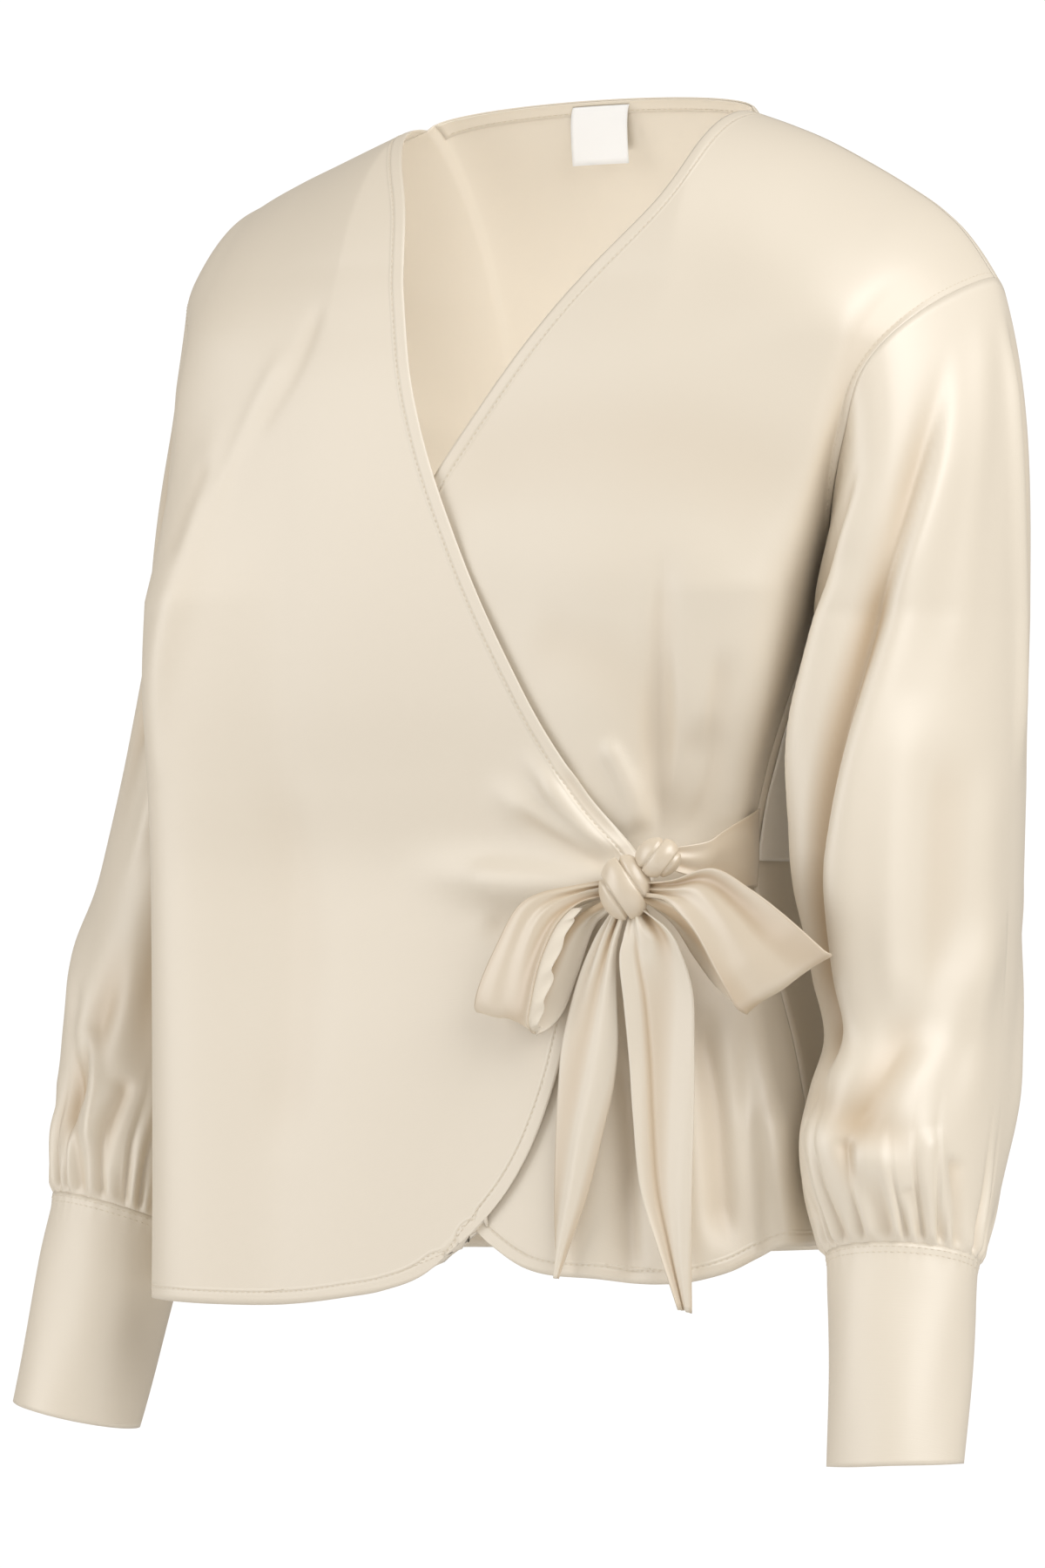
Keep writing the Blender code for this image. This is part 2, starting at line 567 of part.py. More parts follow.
def armhole(near, count):
    """The armhole's closed seam: from the shoulder tip down the front, and up the back."""
    side = 1.0 if near else -1.0
    tip_z = NEAR_TIP_Z if near else FAR_TIP_Z
    z = tip_z + (UNDERARM_Z - tip_z) * np.linspace(0, 1, count // 2 + 1) ** ROW_CROWDING
    edge = np.full(z.shape, side)
    return np.concatenate([front_surface(edge, z)[:-1], back_surface(edge, z)[:0:-1]])


def forearm_lean(cuff):
    """The angle at which a cuff slants forward."""
    top, bottom = cuff
    return math.atan((bottom[1] - top[1]) / (bottom[2] - top[2]))


def sleeve_ring(near, z, turn):
    """A ring of the sleeve where its path is at height z; low rings lean until they fit the cuff."""
    table = SLEEVE_NEAR if near else SLEEVE_FAR
    cuff = CUFF_NEAR if near else CUFF_FAR
    side = 1.0 if near else -1.0
    x, y, half_x, half_y = (float(column(table, SLEEVE_COLUMNS, name, z)) for name in SLEEVE_COLUMNS[1:])
    near_cuff = float(soft_step(-z, LEAN_FROM, -table[0][0]))
    lean = forearm_lean(cuff) * near_cuff
    roll = (CUFF_ROLL_NEAR if near else CUFF_ROLL_FAR) * near_cuff
    out = np.cos(turn) * half_x
    fore = np.sin(turn) * half_y
    rise = fore * math.sin(lean) + out * roll
    return np.stack([side * (x + out), y - fore * math.cos(lean), z + rise], axis=-1)


def gather_height(turn, below_seam):
    """In and out of the cuff's gathers, dying out up the sleeve; the gathers differ in depth."""
    uneven = 0.75 + 0.25 * np.sin(3.0 * turn + 0.8) * np.cos(5.0 * turn)
    fade = np.clip(1 - below_seam / (GATHER_REACH * (0.8 + 0.3 * np.sin(7.0 * turn))), 0, 1)
    return GATHER_DEPTH * np.cos(GATHERS * turn) * uneven * fade


def sleeve_row(near, z, turn):
    """One ring of points with the sleeve's folds and gathers."""
    table = SLEEVE_NEAR if near else SLEEVE_FAR
    folds = NEAR_SLEEVE_FOLDS if near else FAR_SLEEVE_FOLDS
    side = 1.0 if near else -1.0
    ring = sleeve_ring(near, z, turn)
    out = np.stack([np.cos(turn) * side, -np.sin(turn), 0 * turn], axis=-1)
    height = fold_height(folds, np.degrees(turn), np.full(turn.shape, z), u_scale=1.05)
    height = height * soft_step(z, table[0][0] + 4.0, table[0][0] + 40.0)
    height = height + gather_height(turn, z - table[0][0])
    return ring + out * height[..., None]


def sleeve_cap(near, turn):
    """Rows from the armhole seam to the first full ring."""
    side = 1.0 if near else -1.0
    seam = armhole(near, len(turn))
    full = sleeve_row(near, CAP_Z, turn)
    reach = np.linalg.norm(full - seam, axis=1, keepdims=True)
    leave = full - seam
    leave[:, 0] += side * (CAP_FULLNESS_NEAR if near else CAP_FULLNESS_FAR) * reach[:, 0]
    arrive = np.array([0.0, 0.0, -1.0]) * reach
    rows = []
    for part in np.linspace(0, 1, SLEEVE_CAP_ROWS + 1)[:-1]:
        rows.append(
            (2 * part**3 - 3 * part**2 + 1) * seam + (part**3 - 2 * part**2 + part) * leave
            + (3 * part**2 - 2 * part**3) * full + (part**3 - part**2) * arrive
        )
    rows[0] = seam + leave / reach * CAP_SEAM_GAP
    return rows


def sleeve_rows(near):
    """Upper rows with few points, and the gathered rows with twice as many."""
    table = SLEEVE_NEAR if near else SLEEVE_FAR
    turn = np.linspace(0, 2 * math.pi, GATHERS + 1)[:-1]
    fine = np.linspace(0, 2 * math.pi, 2 * GATHERS + 1)[:-1]
    bottom = table[0][0] + HALF_SEAM + 0.15
    upper = sleeve_cap(near, turn)
    upper += [sleeve_row(near, z, turn) for z in np.linspace(CAP_Z, SLEEVE_LOW_START, SLEEVE_UPPER_ROWS + 1)]
    steps = np.linspace(0, 1, SLEEVE_LOWER_ROWS + 1)[1:]
    lower = [sleeve_row(near, SLEEVE_LOW_START + (bottom - SLEEVE_LOW_START) * step, fine) for step in steps]
    return upper, lower


def new_object(name, points, faces, slot, collection):
    """A mesh object in metres with its own material."""
    mesh = bpy.data.meshes.new(name)
    mesh.from_pydata([tuple(MM * float(c) for c in point) for point in points], [], faces)
    mesh.validate()
    mesh.update()
    mesh.shade_smooth()
    part = bpy.data.objects.new(name, mesh)
    mesh.materials.append(cloth_material(name, slot))
    collection.objects.link(part)
    return part


def cloth_material(name, slot):
    """A plain Principled material in the slot's colour."""
    colour, roughness = MATERIALS[slot]
    material = bpy.data.materials.new(name + "_" + slot)
    material.use_nodes = True
    shader = material.node_tree.nodes["Principled BSDF"]
    shader.inputs["Base Color"].default_value = (*colour, 1.0)
    shader.inputs["Roughness"].default_value = roughness
    shader.inputs["Metallic"].default_value = 0.0
    return material


def grid_faces(rows, columns, closed, flip, start=0):
    """Quads of a grid of rows by columns points."""
    faces = []
    last = columns if closed else columns - 1
    for row in range(rows - 1):
        for k in range(last):
            after = (k + 1) % columns
            quad = (row * columns + k, (row + 1) * columns + k,
                    (row + 1) * columns + after, row * columns + after)
            quad = tuple(start + index for index in quad)
            faces.append(quad[::-1] if flip else quad)
    return faces


def thicken(part, wall):
    """Gives an open surface its wall, inwards."""
    modifier = part.modifiers.new("wall", "SOLIDIFY")
    modifier.thickness = wall * MM
    modifier.offset = -1.0
    modifier.use_rim = True
    return part


def sheet_object(name, grid, closed, flip, slot, collection, wall=WALL):
    """An open grid of points as a cloth wall."""
    rows, columns = grid.shape[:2]
    faces = grid_faces(rows, columns, closed, flip)
    part = new_object(name, grid.reshape(-1, 3), faces, slot, collection)
    return thicken(part, wall)


def make_sleeve(name, near, collection):
    """A sleeve, whose rows double their points where the gathers start."""
    upper, lower = sleeve_rows(near)
    flip = near
    count = len(upper[0])
    points = np.concatenate([np.concatenate(upper), np.concatenate(lower)])
    faces = grid_faces(len(upper), count, True, flip)
    first = (len(upper) - 1) * count
    start = len(upper) * count
    for k in range(count):
        after = (k + 1) % count
        a, b = first + k, first + after
        c, d, e = start + 2 * k, start + 2 * k + 1, start + (2 * k + 2) % (2 * count)
        for face in ((a, c, d), (a, d, b), (b, d, e)):
            faces.append(face[::-1] if flip else face)
    faces += grid_faces(len(lower), 2 * count, True, flip, start)
    part = new_object(name, points, faces, "satin", collection)
    return thicken(part, WALL)


def cuff_grid(rows, side, count=CUFF_AROUND, levels=CUFF_LEVELS):
    """A closed cuff: rings square to the line from its top to its bottom."""
    top, bottom = (np.array(row) for row in rows)
    turn = np.linspace(0, 2 * math.pi, count + 1)[:-1]
    roll = CUFF_ROLL_NEAR if side > 0 else CUFF_ROLL_FAR
    grid = []
    for part in np.linspace(0, 1, levels + 1):
        lean = forearm_lean(rows) * (1 - (1 - CUFF_BOTTOM_TILT) * part)
        x, y, z, half_x, half_y = top + (bottom - top) * part
        half_x, half_y = half_x - CUFF_EASE * (1 - part), half_y - CUFF_EASE * (1 - part)
        out, fore = np.cos(turn) * half_x, np.sin(turn) * half_y
        grid.append(np.stack([side * (x + out), y - fore * math.cos(lean),
                              z - HALF_SEAM + fore * math.sin(lean) + out * roll], axis=-1))
    return np.array(grid)


def on_grid(grid, rows, columns):
    """Points of a grid at part rows and columns, straight between its own points."""
    rows = np.asarray(rows, float)
    columns = np.asarray(columns, float)
    row = np.clip(np.floor(rows).astype(int), 0, grid.shape[0] - 2)
    col = np.clip(np.floor(columns).astype(int), 0, grid.shape[1] - 2)
    down = (rows - row)[:, None, None]
    over = (columns - col)[None, :, None]
    upper = grid[row][:, col] * (1 - over) + grid[row][:, col + 1] * over
    lower = grid[row + 1][:, col] * (1 - over) + grid[row + 1][:, col + 1] * over
    return upper * (1 - down) + lower * down


def row_below(grid, column, drop):
    """The part row that lies this far under the top of a column."""
    heights = grid[0, column, 2] - grid[:, column, 2]
    return float(np.interp(drop, heights, np.arange(len(heights))))


def steps(first, last):
    """Both ends, and the whole numbers between them."""
    inner = [float(k) for k in range(math.floor(first) + 1, math.ceil(last))]
    return [first] + inner + [last]


def patch_on(grid, rows, columns, lift):
    """Part of a panel moved off it along its normals; a lift under zero moves it inside."""
    normals = normals_of(grid)
    return on_grid(grid, rows, columns) + on_grid(normals, rows, columns) * lift


def make_binding(back, collection):
    """The narrow band inside the back neck, between the shoulder seams."""
    middle = back.shape[1] // 2
    inside = np.flatnonzero(np.abs(back[0, :, 0]) < NECK_X)
    low = row_below(back, middle, BINDING_HEIGHT)
    rows = [row_below(back, middle, 0.5)] + steps(0.5, low)[1:]
    grid = patch_on(back, rows, inside.astype(float), -(WALL + 0.4))
    return sheet_object("neck_binding", grid, False, True, "satin_inside", collection)


def make_label(back, collection):
    """The blank label, under the binding at the centre back."""
    middle = back.shape[1] // 2
    ends = np.interp([LABEL_X - LABEL_WIDTH / 2, LABEL_X + LABEL_WIDTH / 2], back[1, :, 0],
                     np.arange(back.shape[1]))
    top = row_below(back, middle, BINDING_HEIGHT + 0.5)
    low = row_below(back, middle, BINDING_HEIGHT + 0.5 + LABEL_HEIGHT)
    grid = patch_on(back, steps(top, low), steps(ends[0], ends[1]), -(WALL + 0.4))
    return sheet_object("neck_label", grid, False, True, "label_white", collection, LABEL_WALL)


def make_facing(back, collection):
    """The matte strip on the back panel beside the near side seam."""
    last = back.shape[1] - 1
    top = row_below(back, last, back[0, last, 2] - FACING_TOP_Z)
    low = row_below(back, last, back[0, last, 2] - FACING_LOW_Z)
    grid = patch_on(back, steps(top, low), [last - FACING_COLUMNS_WIDE, last - 1.0, last - 0.12],
                    FACING_WALL + 0.4)
    return sheet_object("side_facing", grid, False, True, "satin_inside", collection, FACING_WALL)


def ellipsoid_reach(half, direction):
    """How far an ellipsoid reaches from its middle along a direction."""
    return 1.0 / math.sqrt(sum((part / size) ** 2 for part, size in zip(direction, half)))


def seat(rows, index, centre, half, gap):
    """Moves one end row of a ribbon along the line to the knot's middle, to stand just off it."""
    rows = np.array(rows, float)
    middle = (rows[index, :3] + rows[index, 3:]) / 2
    away = middle - centre
    away = away / np.linalg.norm(away)
    shift = centre + away * (ellipsoid_reach(half, away) + gap) - middle
    rows[index, :3] += shift
    rows[index, 3:] += shift
    return rows


def ribbon_grid(rows, per_row=2, strips=3, hollow=0.0):
    """A ribbon between two edge lines, smooth along its length and cupped across it."""
    rows = np.asarray(rows, float)
    knots = np.arange(len(rows))
    at = np.linspace(0, len(rows) - 1, (len(rows) - 1) * per_row + 1)
    edges = np.stack([curve_through(knots, rows[:, k], at) for k in range(6)], axis=1)
    share = np.linspace(0, 1, strips + 1)[None, :, None]
    grid = edges[:, None, :3] * (1 - share) + edges[:, None, 3:] * share
    return grid + normals_of(grid) * hollow * (4 * share * (1 - share))


def make_knot(centre, top, collection):
    """The knot: a main turn with a smaller one behind its upper right, joined in one body."""
    made = []
    for name, middle, half in (("tie_knot", centre, KNOT_HALF), ("knot_top", top, KNOT_TOP_HALF)):
        mesh = bpy.data.meshes.new(name)
        ball = bmesh.new()
        bmesh.ops.create_uvsphere(ball, u_segments=KNOT_AROUND, v_segments=KNOT_LEVELS, radius=1.0)
        for vertex in ball.verts:
            vertex.co = [MM * (m + h * c) for m, h, c in zip(middle, half, vertex.co)]
        ball.to_mesh(mesh)
        ball.free()
        mesh.shade_smooth()
        mesh.materials.append(cloth_material(name, "satin_tie"))
        made.append(bpy.data.objects.new(name, mesh))
    collection.objects.link(made[0])
    guides = bpy.data.collections.new("cutters")
    bpy.context.scene.collection.children.link(guides)
    guides.objects.link(made[1])
    made[1].hide_render = True
    made[1].display_type = "WIRE"
    union = made[0].modifiers.new("upper turn", "BOOLEAN")
    union.operation = "UNION"
    union.object = made[1]
    return made[0]


def make_bow(right_front, collection):
    """The strap, the knot, the two loops and the two free ends."""
    near = np.hypot(right_front[..., 0] - KNOT_X, right_front[..., 2] - KNOT_Z) < KNOT_SEAT_REACH
    seat_y = right_front[near][:, 1].min()
    centre = np.array([KNOT_X, seat_y - KNOT_HALF[1] - SEAT_GAP, KNOT_Z])
    top = centre + np.array(KNOT_TOP_SHIFT)
    make_knot(centre, top, collection)
    for name, rows, end, middle, half in (
        ("tie_strap", STRAP, -1, top, KNOT_TOP_HALF),
        ("tie_loop_inner", LOOP_INNER, 0, centre, KNOT_HALF),
        ("tie_loop_outer", LOOP_OUTER, 0, centre, KNOT_HALF),
        ("tie_tail_front", TAIL_FRONT, 0, centre, KNOT_HALF),
        ("tie_tail_back", TAIL_BACK, 0, centre, KNOT_HALF),
    ):
        rows = seat(rows, end, middle, half, SEAT_GAP)
        if name.startswith("tie_loop"):
            rows = seat(rows, -1, middle, half, SEAT_GAP + WALL)
        grid = ribbon_grid(rows, hollow=RIBBON_CUP[name])
        sheet_object(name, grid, False, RIBBON_FLIP[name], "satin_tie", collection, TIE_WALL)


def main():
    for old in list(bpy.data.objects):
        bpy.data.objects.remove(old, do_unlink=True)
    collection = bpy.data.collections.new("wrap_blouse")
    bpy.context.scene.collection.children.link(collection)
    back = back_grid()
    right_front = front_grid(True)
    sheet_object("back", back, False, True, "satin", collection)
    sheet_object("front_right", right_front, False, True, "satin", collection)
    sheet_object("front_left", front_grid(False), False, False, "satin", collection)
    make_sleeve("sleeve_left", True, collection)
    make_sleeve("sleeve_right", False, collection)
    sheet_object("cuff_left", cuff_grid(CUFF_NEAR, 1.0), True, True, "satin", collection)
    sheet_object("cuff_right", cuff_grid(CUFF_FAR, -1.0), True, False, "satin", collection)
    make_binding(back, collection)
    make_label(back, collection)
    make_facing(back, collection)
    make_bow(right_front, collection)


main()
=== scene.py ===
"""Looks of the satin wrap blouse: fine cloth on the solids' forms, seams, stitches, bow and light.

Sizes are in millimetres and become metres when a mesh is made. +Z is up, the front faces -Y and the
wearer's left is +X ("near" below, the right side is "far").
"""

import math

import bpy
import mathutils
import numpy as np
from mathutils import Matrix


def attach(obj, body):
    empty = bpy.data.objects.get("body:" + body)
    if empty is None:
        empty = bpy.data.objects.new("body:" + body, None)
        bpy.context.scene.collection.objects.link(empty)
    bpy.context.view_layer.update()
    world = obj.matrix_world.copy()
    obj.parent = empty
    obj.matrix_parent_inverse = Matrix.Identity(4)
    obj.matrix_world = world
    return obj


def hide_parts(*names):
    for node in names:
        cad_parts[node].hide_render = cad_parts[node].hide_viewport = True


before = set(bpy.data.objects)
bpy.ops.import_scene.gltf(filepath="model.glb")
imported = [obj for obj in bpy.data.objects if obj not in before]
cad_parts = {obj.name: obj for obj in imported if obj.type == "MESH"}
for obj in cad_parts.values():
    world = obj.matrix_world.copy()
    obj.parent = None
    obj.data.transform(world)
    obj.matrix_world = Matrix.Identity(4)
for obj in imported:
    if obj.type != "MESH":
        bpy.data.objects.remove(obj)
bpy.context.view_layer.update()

MM = 0.001
HALF_SEAM = 0.05
OVERLAP_LIFT = 3.2

# The neck and the dropped shoulder.
NECK_X = 95
NECK_BACK_Y = 15
NECK_BACK_RISE = 13
SHOULDER_X = 234
RIDGE_NECK_Y = -4
RIDGE_TIP_Y = -12
NEAR_TIP_Z = -92
FAR_TIP_Z = -80
UNDERARM_Z = -250

# The shoulder seam at each distance from the middle: x, and its height on the near and the far side.
SHOULDER = (
    (95, 0, 0),
    (117, -8, -8),
    (135, -15.5, -14.5),
    (160, -28.5, -23.5),
    (184, -42.5, -34),
    (204, -56, -46),
    (215, -66, -62),
    (222, -74.5, FAR_TIP_Z),
    (234, NEAR_TIP_Z, -108),
)

# Half sections of the torso. The corner is where the cloth turns to the side, and the edge is the
# armhole above the underarm and the side seam below it. x counts outwards on either side.
SECTION_COLUMNS = ("z", "centre_y", "corner_x", "corner_y", "edge_x", "edge_y")
FRONT_NEAR = (
    (-604, -130, 166, -103, 168, -72),
    (-540, -128, 156, -100, 160, -68),
    (-480, -125, 143, -96, 149, -66),
    (-430, -121, 131, -90, 135, -66),
    (-385, -119, 123, -86, 125, -68),
    (-345, -124, 131, -89, 129, -62),
    (-300, -130, 146, -95, 138, -50),
    (-250, -132, 158, -98, 146, -22),
    (-215, -130, 168, -101, 166, -62),
    (-175, -125, 180, -103, 186, -88),
    (-140, -119, 186, -102, 200, -93),
    (-115, -113, 190, -100, 218, -82),
    (-92, -108, 192, -98, 234, -72),
)
FRONT_FAR = (
    (-604, -130, 199, -101, 192, -4),
    (-540, -128, 198, -100, 182, 0),
    (-480, -125, 198, -100, 180, 2),
    (-430, -121, 198, -100, 176, 4),
    (-385, -119, 198, -100, 170, 5),
    (-345, -124, 198, -101, 164, 6),
    (-300, -130, 198, -102, 156, 6),
    (-250, -132, 198, -102, 158, 2),
    (-215, -130, 196, -102, 182, -50),
    (-175, -125, 191, -100, 191, -76),
    (-140, -119, 189, -97, 195, -80),
    (-115, -113, 187, -92, 201, -68),
    (-80, -108, 185, -86, 222, -60),
)
BACK_NEAR = (
    (-604, 102, 188, 78, 168, -72),
    (-540, 97, 176, 72, 160, -68),
    (-480, 91, 162, 66, 149, -66),
    (-430, 86, 146, 60, 135, -66),
    (-385, 83, 136, 56, 125, -68),
    (-345, 86, 140, 58, 129, -62),
    (-300, 92, 150, 64, 138, -50),
    (-250, 98, 162, 72, 146, -22),
    (-215, 99, 172, 76, 172, 30),
    (-175, 97, 180, 78, 192, 52),
    (-140, 92, 184, 76, 208, 54),
    (-115, 86, 184, 70, 219, 43),
    (-92, 80, 184, 65, 234, 38),
)
BACK_FAR = (
    (-604, 102, 196, 82, 192, -4),
    (-540, 97, 190, 80, 182, 0),
    (-480, 91, 184, 78, 180, 2),
    (-430, 86, 178, 76, 176, 4),
    (-385, 83, 172, 76, 170, 5),
    (-345, 86, 168, 78, 164, 6),
    (-300, 92, 168, 82, 156, 6),
    (-250, 98, 174, 86, 158, 2),
    (-215, 99, 182, 86, 186, 44),
    (-175, 97, 186, 84, 197, 58),
    (-140, 92, 187, 79, 205, 55),
    (-115, 86, 186, 72, 210, 48),
    (-80, 80, 186, 65, 222, 38),
)
# Where the middle, the corner and the edge lie across a half section.
ACROSS = (-0.38, 0, 0.38, 0.78, 1)
MIDDLE_OF_CORNER = 0.53
MIDDLE_DEPTH = 0.985

# How far down the cloth rounds over the shoulder, at the neck and at the tip.
ROUND_NECK = 130
ROUND_TIP = 70
ROUND_BACK = 120
SHOULDER_SLACK = 0.5

# Free edges of the fronts, down from the neck point: height and place across.
EDGE_COLUMNS = ("z", "x")
RIGHT_EDGE = (
    (-580, -12), (-566, 5), (-552, 18), (-534, 30), (-515, 39),
    (-495, 46), (-455, 56), (-429, 65), (-412, 76), (-398, 91),
    (-381, 84), (-349, 61), (-318, 41), (-285, 23), (-244, 2),
    (-216, -11), (-189, -23), (-151, -37), (-93, -53), (-41, -67),
    (-20, -80), (0, -95),
)
LEFT_EDGE = (
    (-575, 8), (-550, -20), (-500, -46), (-430, -66), (-381, -84),
    (-320, -75), (-250, -52), (-189, -23), (-146, 6), (-97, 42),
    (-47, 84), (0, 95),
)
# Hems, from one side to the other: place across and height.
HEM_COLUMNS = ("x", "z")
RIGHT_HEM = (
    (-199, -607), (-154, -609), (-103, -608), (-71, -604), (-49, -600),
    (-24, -590), (-12, -580),
)
LEFT_HEM = (
    (8, -575), (24, -585), (70, -592), (100, -594), (121, -592),
    (137, -587), (150, -580), (162, -575), (170, -577),
)
BACK_HEM_NEAR = -577
BACK_HEM_MIDDLE = -588
BACK_HEM_FAR = -607

# Folds of the torso as soft ridges (height over zero) and troughs (height under zero), each along a
# straight line: x and z where it starts, x and z where it ends, height, width.
FOLD_END = 0.25
BACK_FOLD_END = 0.35
FRONT_FOLDS = (
    (92, -375, 100, -285, -5, 8),
    (102, -372, 120, -322, -4, 8),
    (112, -455, 126, -600, 7, 11),
    (140, -470, 152, -600, -6, 9),
    (78, -480, 84, -600, -5, 12),
)
RIGHT_FOLDS = (
    (72, -386, 18, -352, 4, 8),
    (122, -400, -16, -391, 7.5, 12),
    (70, -372, 34, -336, 2.5, 6),
    (-158, -174, -186, -300, 3, 12),
)
BACK_FOLDS = (
    (118, -300, 40, -430, 5, 16),
    (128, -380, 70, -560, 7, 20),
    (-120, -250, -100, -600, 6, 24),
    (-10, -330, 10, -600, 5, 22),
)

# The arms' paths and the sleeves' half sizes, from underarm height to the cuff seam.
SLEEVE_COLUMNS = ("z", "x", "y", "half_x", "half_y")
SLEEVE_NEAR = (
    (-580, 220, -93, 39, 34),
    (-568, 218, -90, 42, 42),
    (-552, 215, -85, 46, 53),
    (-525, 212, -76, 48.5, 61),
    (-500, 212, -66, 47, 62),
    (-475, 212, -56, 44, 60),
    (-440, 207, -50, 48, 66),
    (-400, 203, -46, 52, 71),
    (-341, 200, -40, 54, 74),
    (-262, 202, -30, 50, 71),
)
SLEEVE_FAR = (
    (-568, 252, -50, 39, 34),
    (-556, 251, -45, 42, 42),
    (-540, 250, -36, 46, 53),
    (-512, 247, -20, 49, 61),
    (-475, 248, -5, 51, 64),
    (-440, 247, 6, 53, 68),
    (-400, 241, 16, 54, 70),
    (-341, 230, 23, 53, 71),
    (-262, 219, 25, 48, 67),
)
CAP_Z = -262
CAP_FULLNESS_NEAR = 0.2
CAP_FULLNESS_FAR = 0
# A cuff's top and bottom: x, y, z, half x, half y.
CUFF_NEAR = ((220, -93, -580, 39, 34), (230, -122, -679, 34, 31))
CUFF_FAR = ((252, -50, -568, 39, 34), (262, -82, -671, 34, 31))
CUFF_EASE = 0.8
# How much the cuff's rings rise on their outer side, and the share of its forward tilt at its bottom.
CUFF_ROLL_NEAR = 0.05
CUFF_ROLL_FAR = 0.2
CUFF_BOTTOM_TILT = 0.15

# Folds of a sleeve, in degrees round it (0 outwards, 90 front, 180 inwards) and height: turn and z where
# a fold starts, turn and z where it ends, height, width.
MM_PER_DEGREE = 1.05
NEAR_SLEEVE_FOLDS = (
    (52, -120, 76, -250, -4, 9),
    (76, -250, 118, -400, -7, 10),
    (118, -400, 122, -480, -6, 12),
    (95, -205, 132, -340, 5, 10),
    (60, -470, 100, -545, -5, 14),
    (10, -420, 60, -500, 4, 16),
    (240, -280, 270, -470, -6, 16),
    (300, -380, 330, -520, 5, 14),
)
FAR_SLEEVE_FOLDS = (
    (60, -130, 60, -330, -4, 11),
    (30, -410, 64, -500, 5, 14),
    (86, -440, 60, -545, -5, 12),
    (120, -320, 110, -480, -5, 14),
    (235, -260, 270, -460, -6, 16),
    (305, -360, 330, -510, 5, 14),
)
GATHERS = 24

# Rows crowd towards the shoulder seam by this power.
ROW_CROWDING = 1.7
# Columns of the solid back, which give the width of the facing on it.
BACK_COLUMNS = 24
SLEEVE_LOW_START = -500

# The neck's finish.
BINDING_HEIGHT = 6
BINDING_IN = 0.25
BINDING_STITCH_IN = 0.9
BINDING_ROWS = 6
LABEL_WIDTH = 33
LABEL_HEIGHT = 24
LABEL_X = -3
LABEL_TOP = 1.5
LABEL_IN = 1.2
LABEL_POINTS = (14, 18)
LABEL_HANG = (-8, -10, 0)
FACING_TOP_Z = -262
FACING_LOW_Z = -384
FACING_COLUMNS_WIDE = 2
FACING_OFF = 1.4
FACING_POINTS = (60, 40)

# The bow. Each tie is a ribbon between two edge lines: x, y, z on the one and x, y, z on the other.
KNOT_X = 89
KNOT_Z = -398
KNOT_HALF = (13.5, 10.5, 16)
KNOT_TOP_SHIFT = (18, 1, 15)
KNOT_TOP_HALF = (12, 8.5, 10)
KNOT_SEAT_REACH = 14
SEAT_GAP = 0.7
# The ties run this far into the knot.
KNOT_OVERLAP = 2
TIE_ROWS = 9
TIE_STRIPS = 30
KNOT_POINTS = (60, 96)
# The knot's two turns: the axis round which the cloth runs, and its folds as place along it, depth, width.
KNOT_AXIS = (0.70, 0.25, 0.62)
KNOT_RIDGES = ((-0.52, -0.17, 0.05), (0, 0.05, 0.3), (0.42, -0.17, 0.045), (0.75, 0.05, 0.2))
KNOT_TOP_AXIS = (0.75, 0.3, -0.55)
KNOT_TOP_RIDGES = ((-0.35, -0.15, 0.06), (0.1, 0.05, 0.25), (0.62, -0.12, 0.06))
STRAP = (
    (129.6, -67, -358, 129.2, -69, -397),
    (132, -80, -361, 130, -80, -397),
    (131, -93, -365, 128, -93, -397),
    (128, -105, -370, 125, -105, -396),
    (124, -115, -375, 122, -115, -394),
    (119, -123, -379, 118, -123, -390),
)
LOOP_INNER = (
    (77, -135, -394.5, 77, -135.5, -401),
    (62, -141, -397, 68, -142, -404),
    (46, -146, -400.5, 60, -147, -411),
    (34, -148, -408, 54, -150, -421),
    (23.5, -149, -426, 48, -152, -437),
    (14.5, -149, -444, 44, -152, -454),
    (10, -147, -456, 41.5, -150, -465),
    (9.5, -142, -460, 42, -143.5, -470),
    (12, -136.5, -458, 46, -137, -468),
    (18, -133.5, -450, 53, -133, -459),
    (28, -132, -436, 60, -131.5, -441),
    (40, -131, -421, 66, -131, -424),
    (58, -131, -409, 71, -132, -415),
    (77, -132.5, -404, 78, -133, -410),
)
LOOP_OUTER = (
    (104, -137, -396, 104, -138, -403),
    (119, -143, -394, 114, -144, -404),
    (143, -147, -388.5, 124, -148, -410),
    (164, -148, -399, 135, -150, -421),
    (180, -148, -410, 145.5, -151, -438),
    (192, -148, -419.5, 151, -151, -447),
    (203, -146, -429.5, 156.5, -149, -457),
    (205, -141, -432, 158.5, -142, -460.5),
    (201, -136, -432, 156, -135, -460),
    (190, -133, -425, 147, -132, -454),
    (172, -131, -413, 135, -129.5, -445),
    (150, -130, -402, 123, -128.5, -431),
    (122, -130, -400, 112, -129, -416),
    (106, -131.5, -401, 105, -131.5, -407),
)
TAIL_FRONT = (
    (95, -136, -416, 102, -136, -413),
    (90, -140, -423, 115, -140, -418),
    (88.5, -141, -434, 123, -141, -430),
    (91, -141, -455, 129, -140, -450),
    (94, -141, -483, 129.5, -140, -478),
    (96.5, -142, -510, 129, -140, -507),
    (100.5, -142, -546, 128, -141, -546),
    (110.5, -142, -576, 127.3, -141, -578),
    (121.5, -141, -605, 126.6, -141, -607),
)
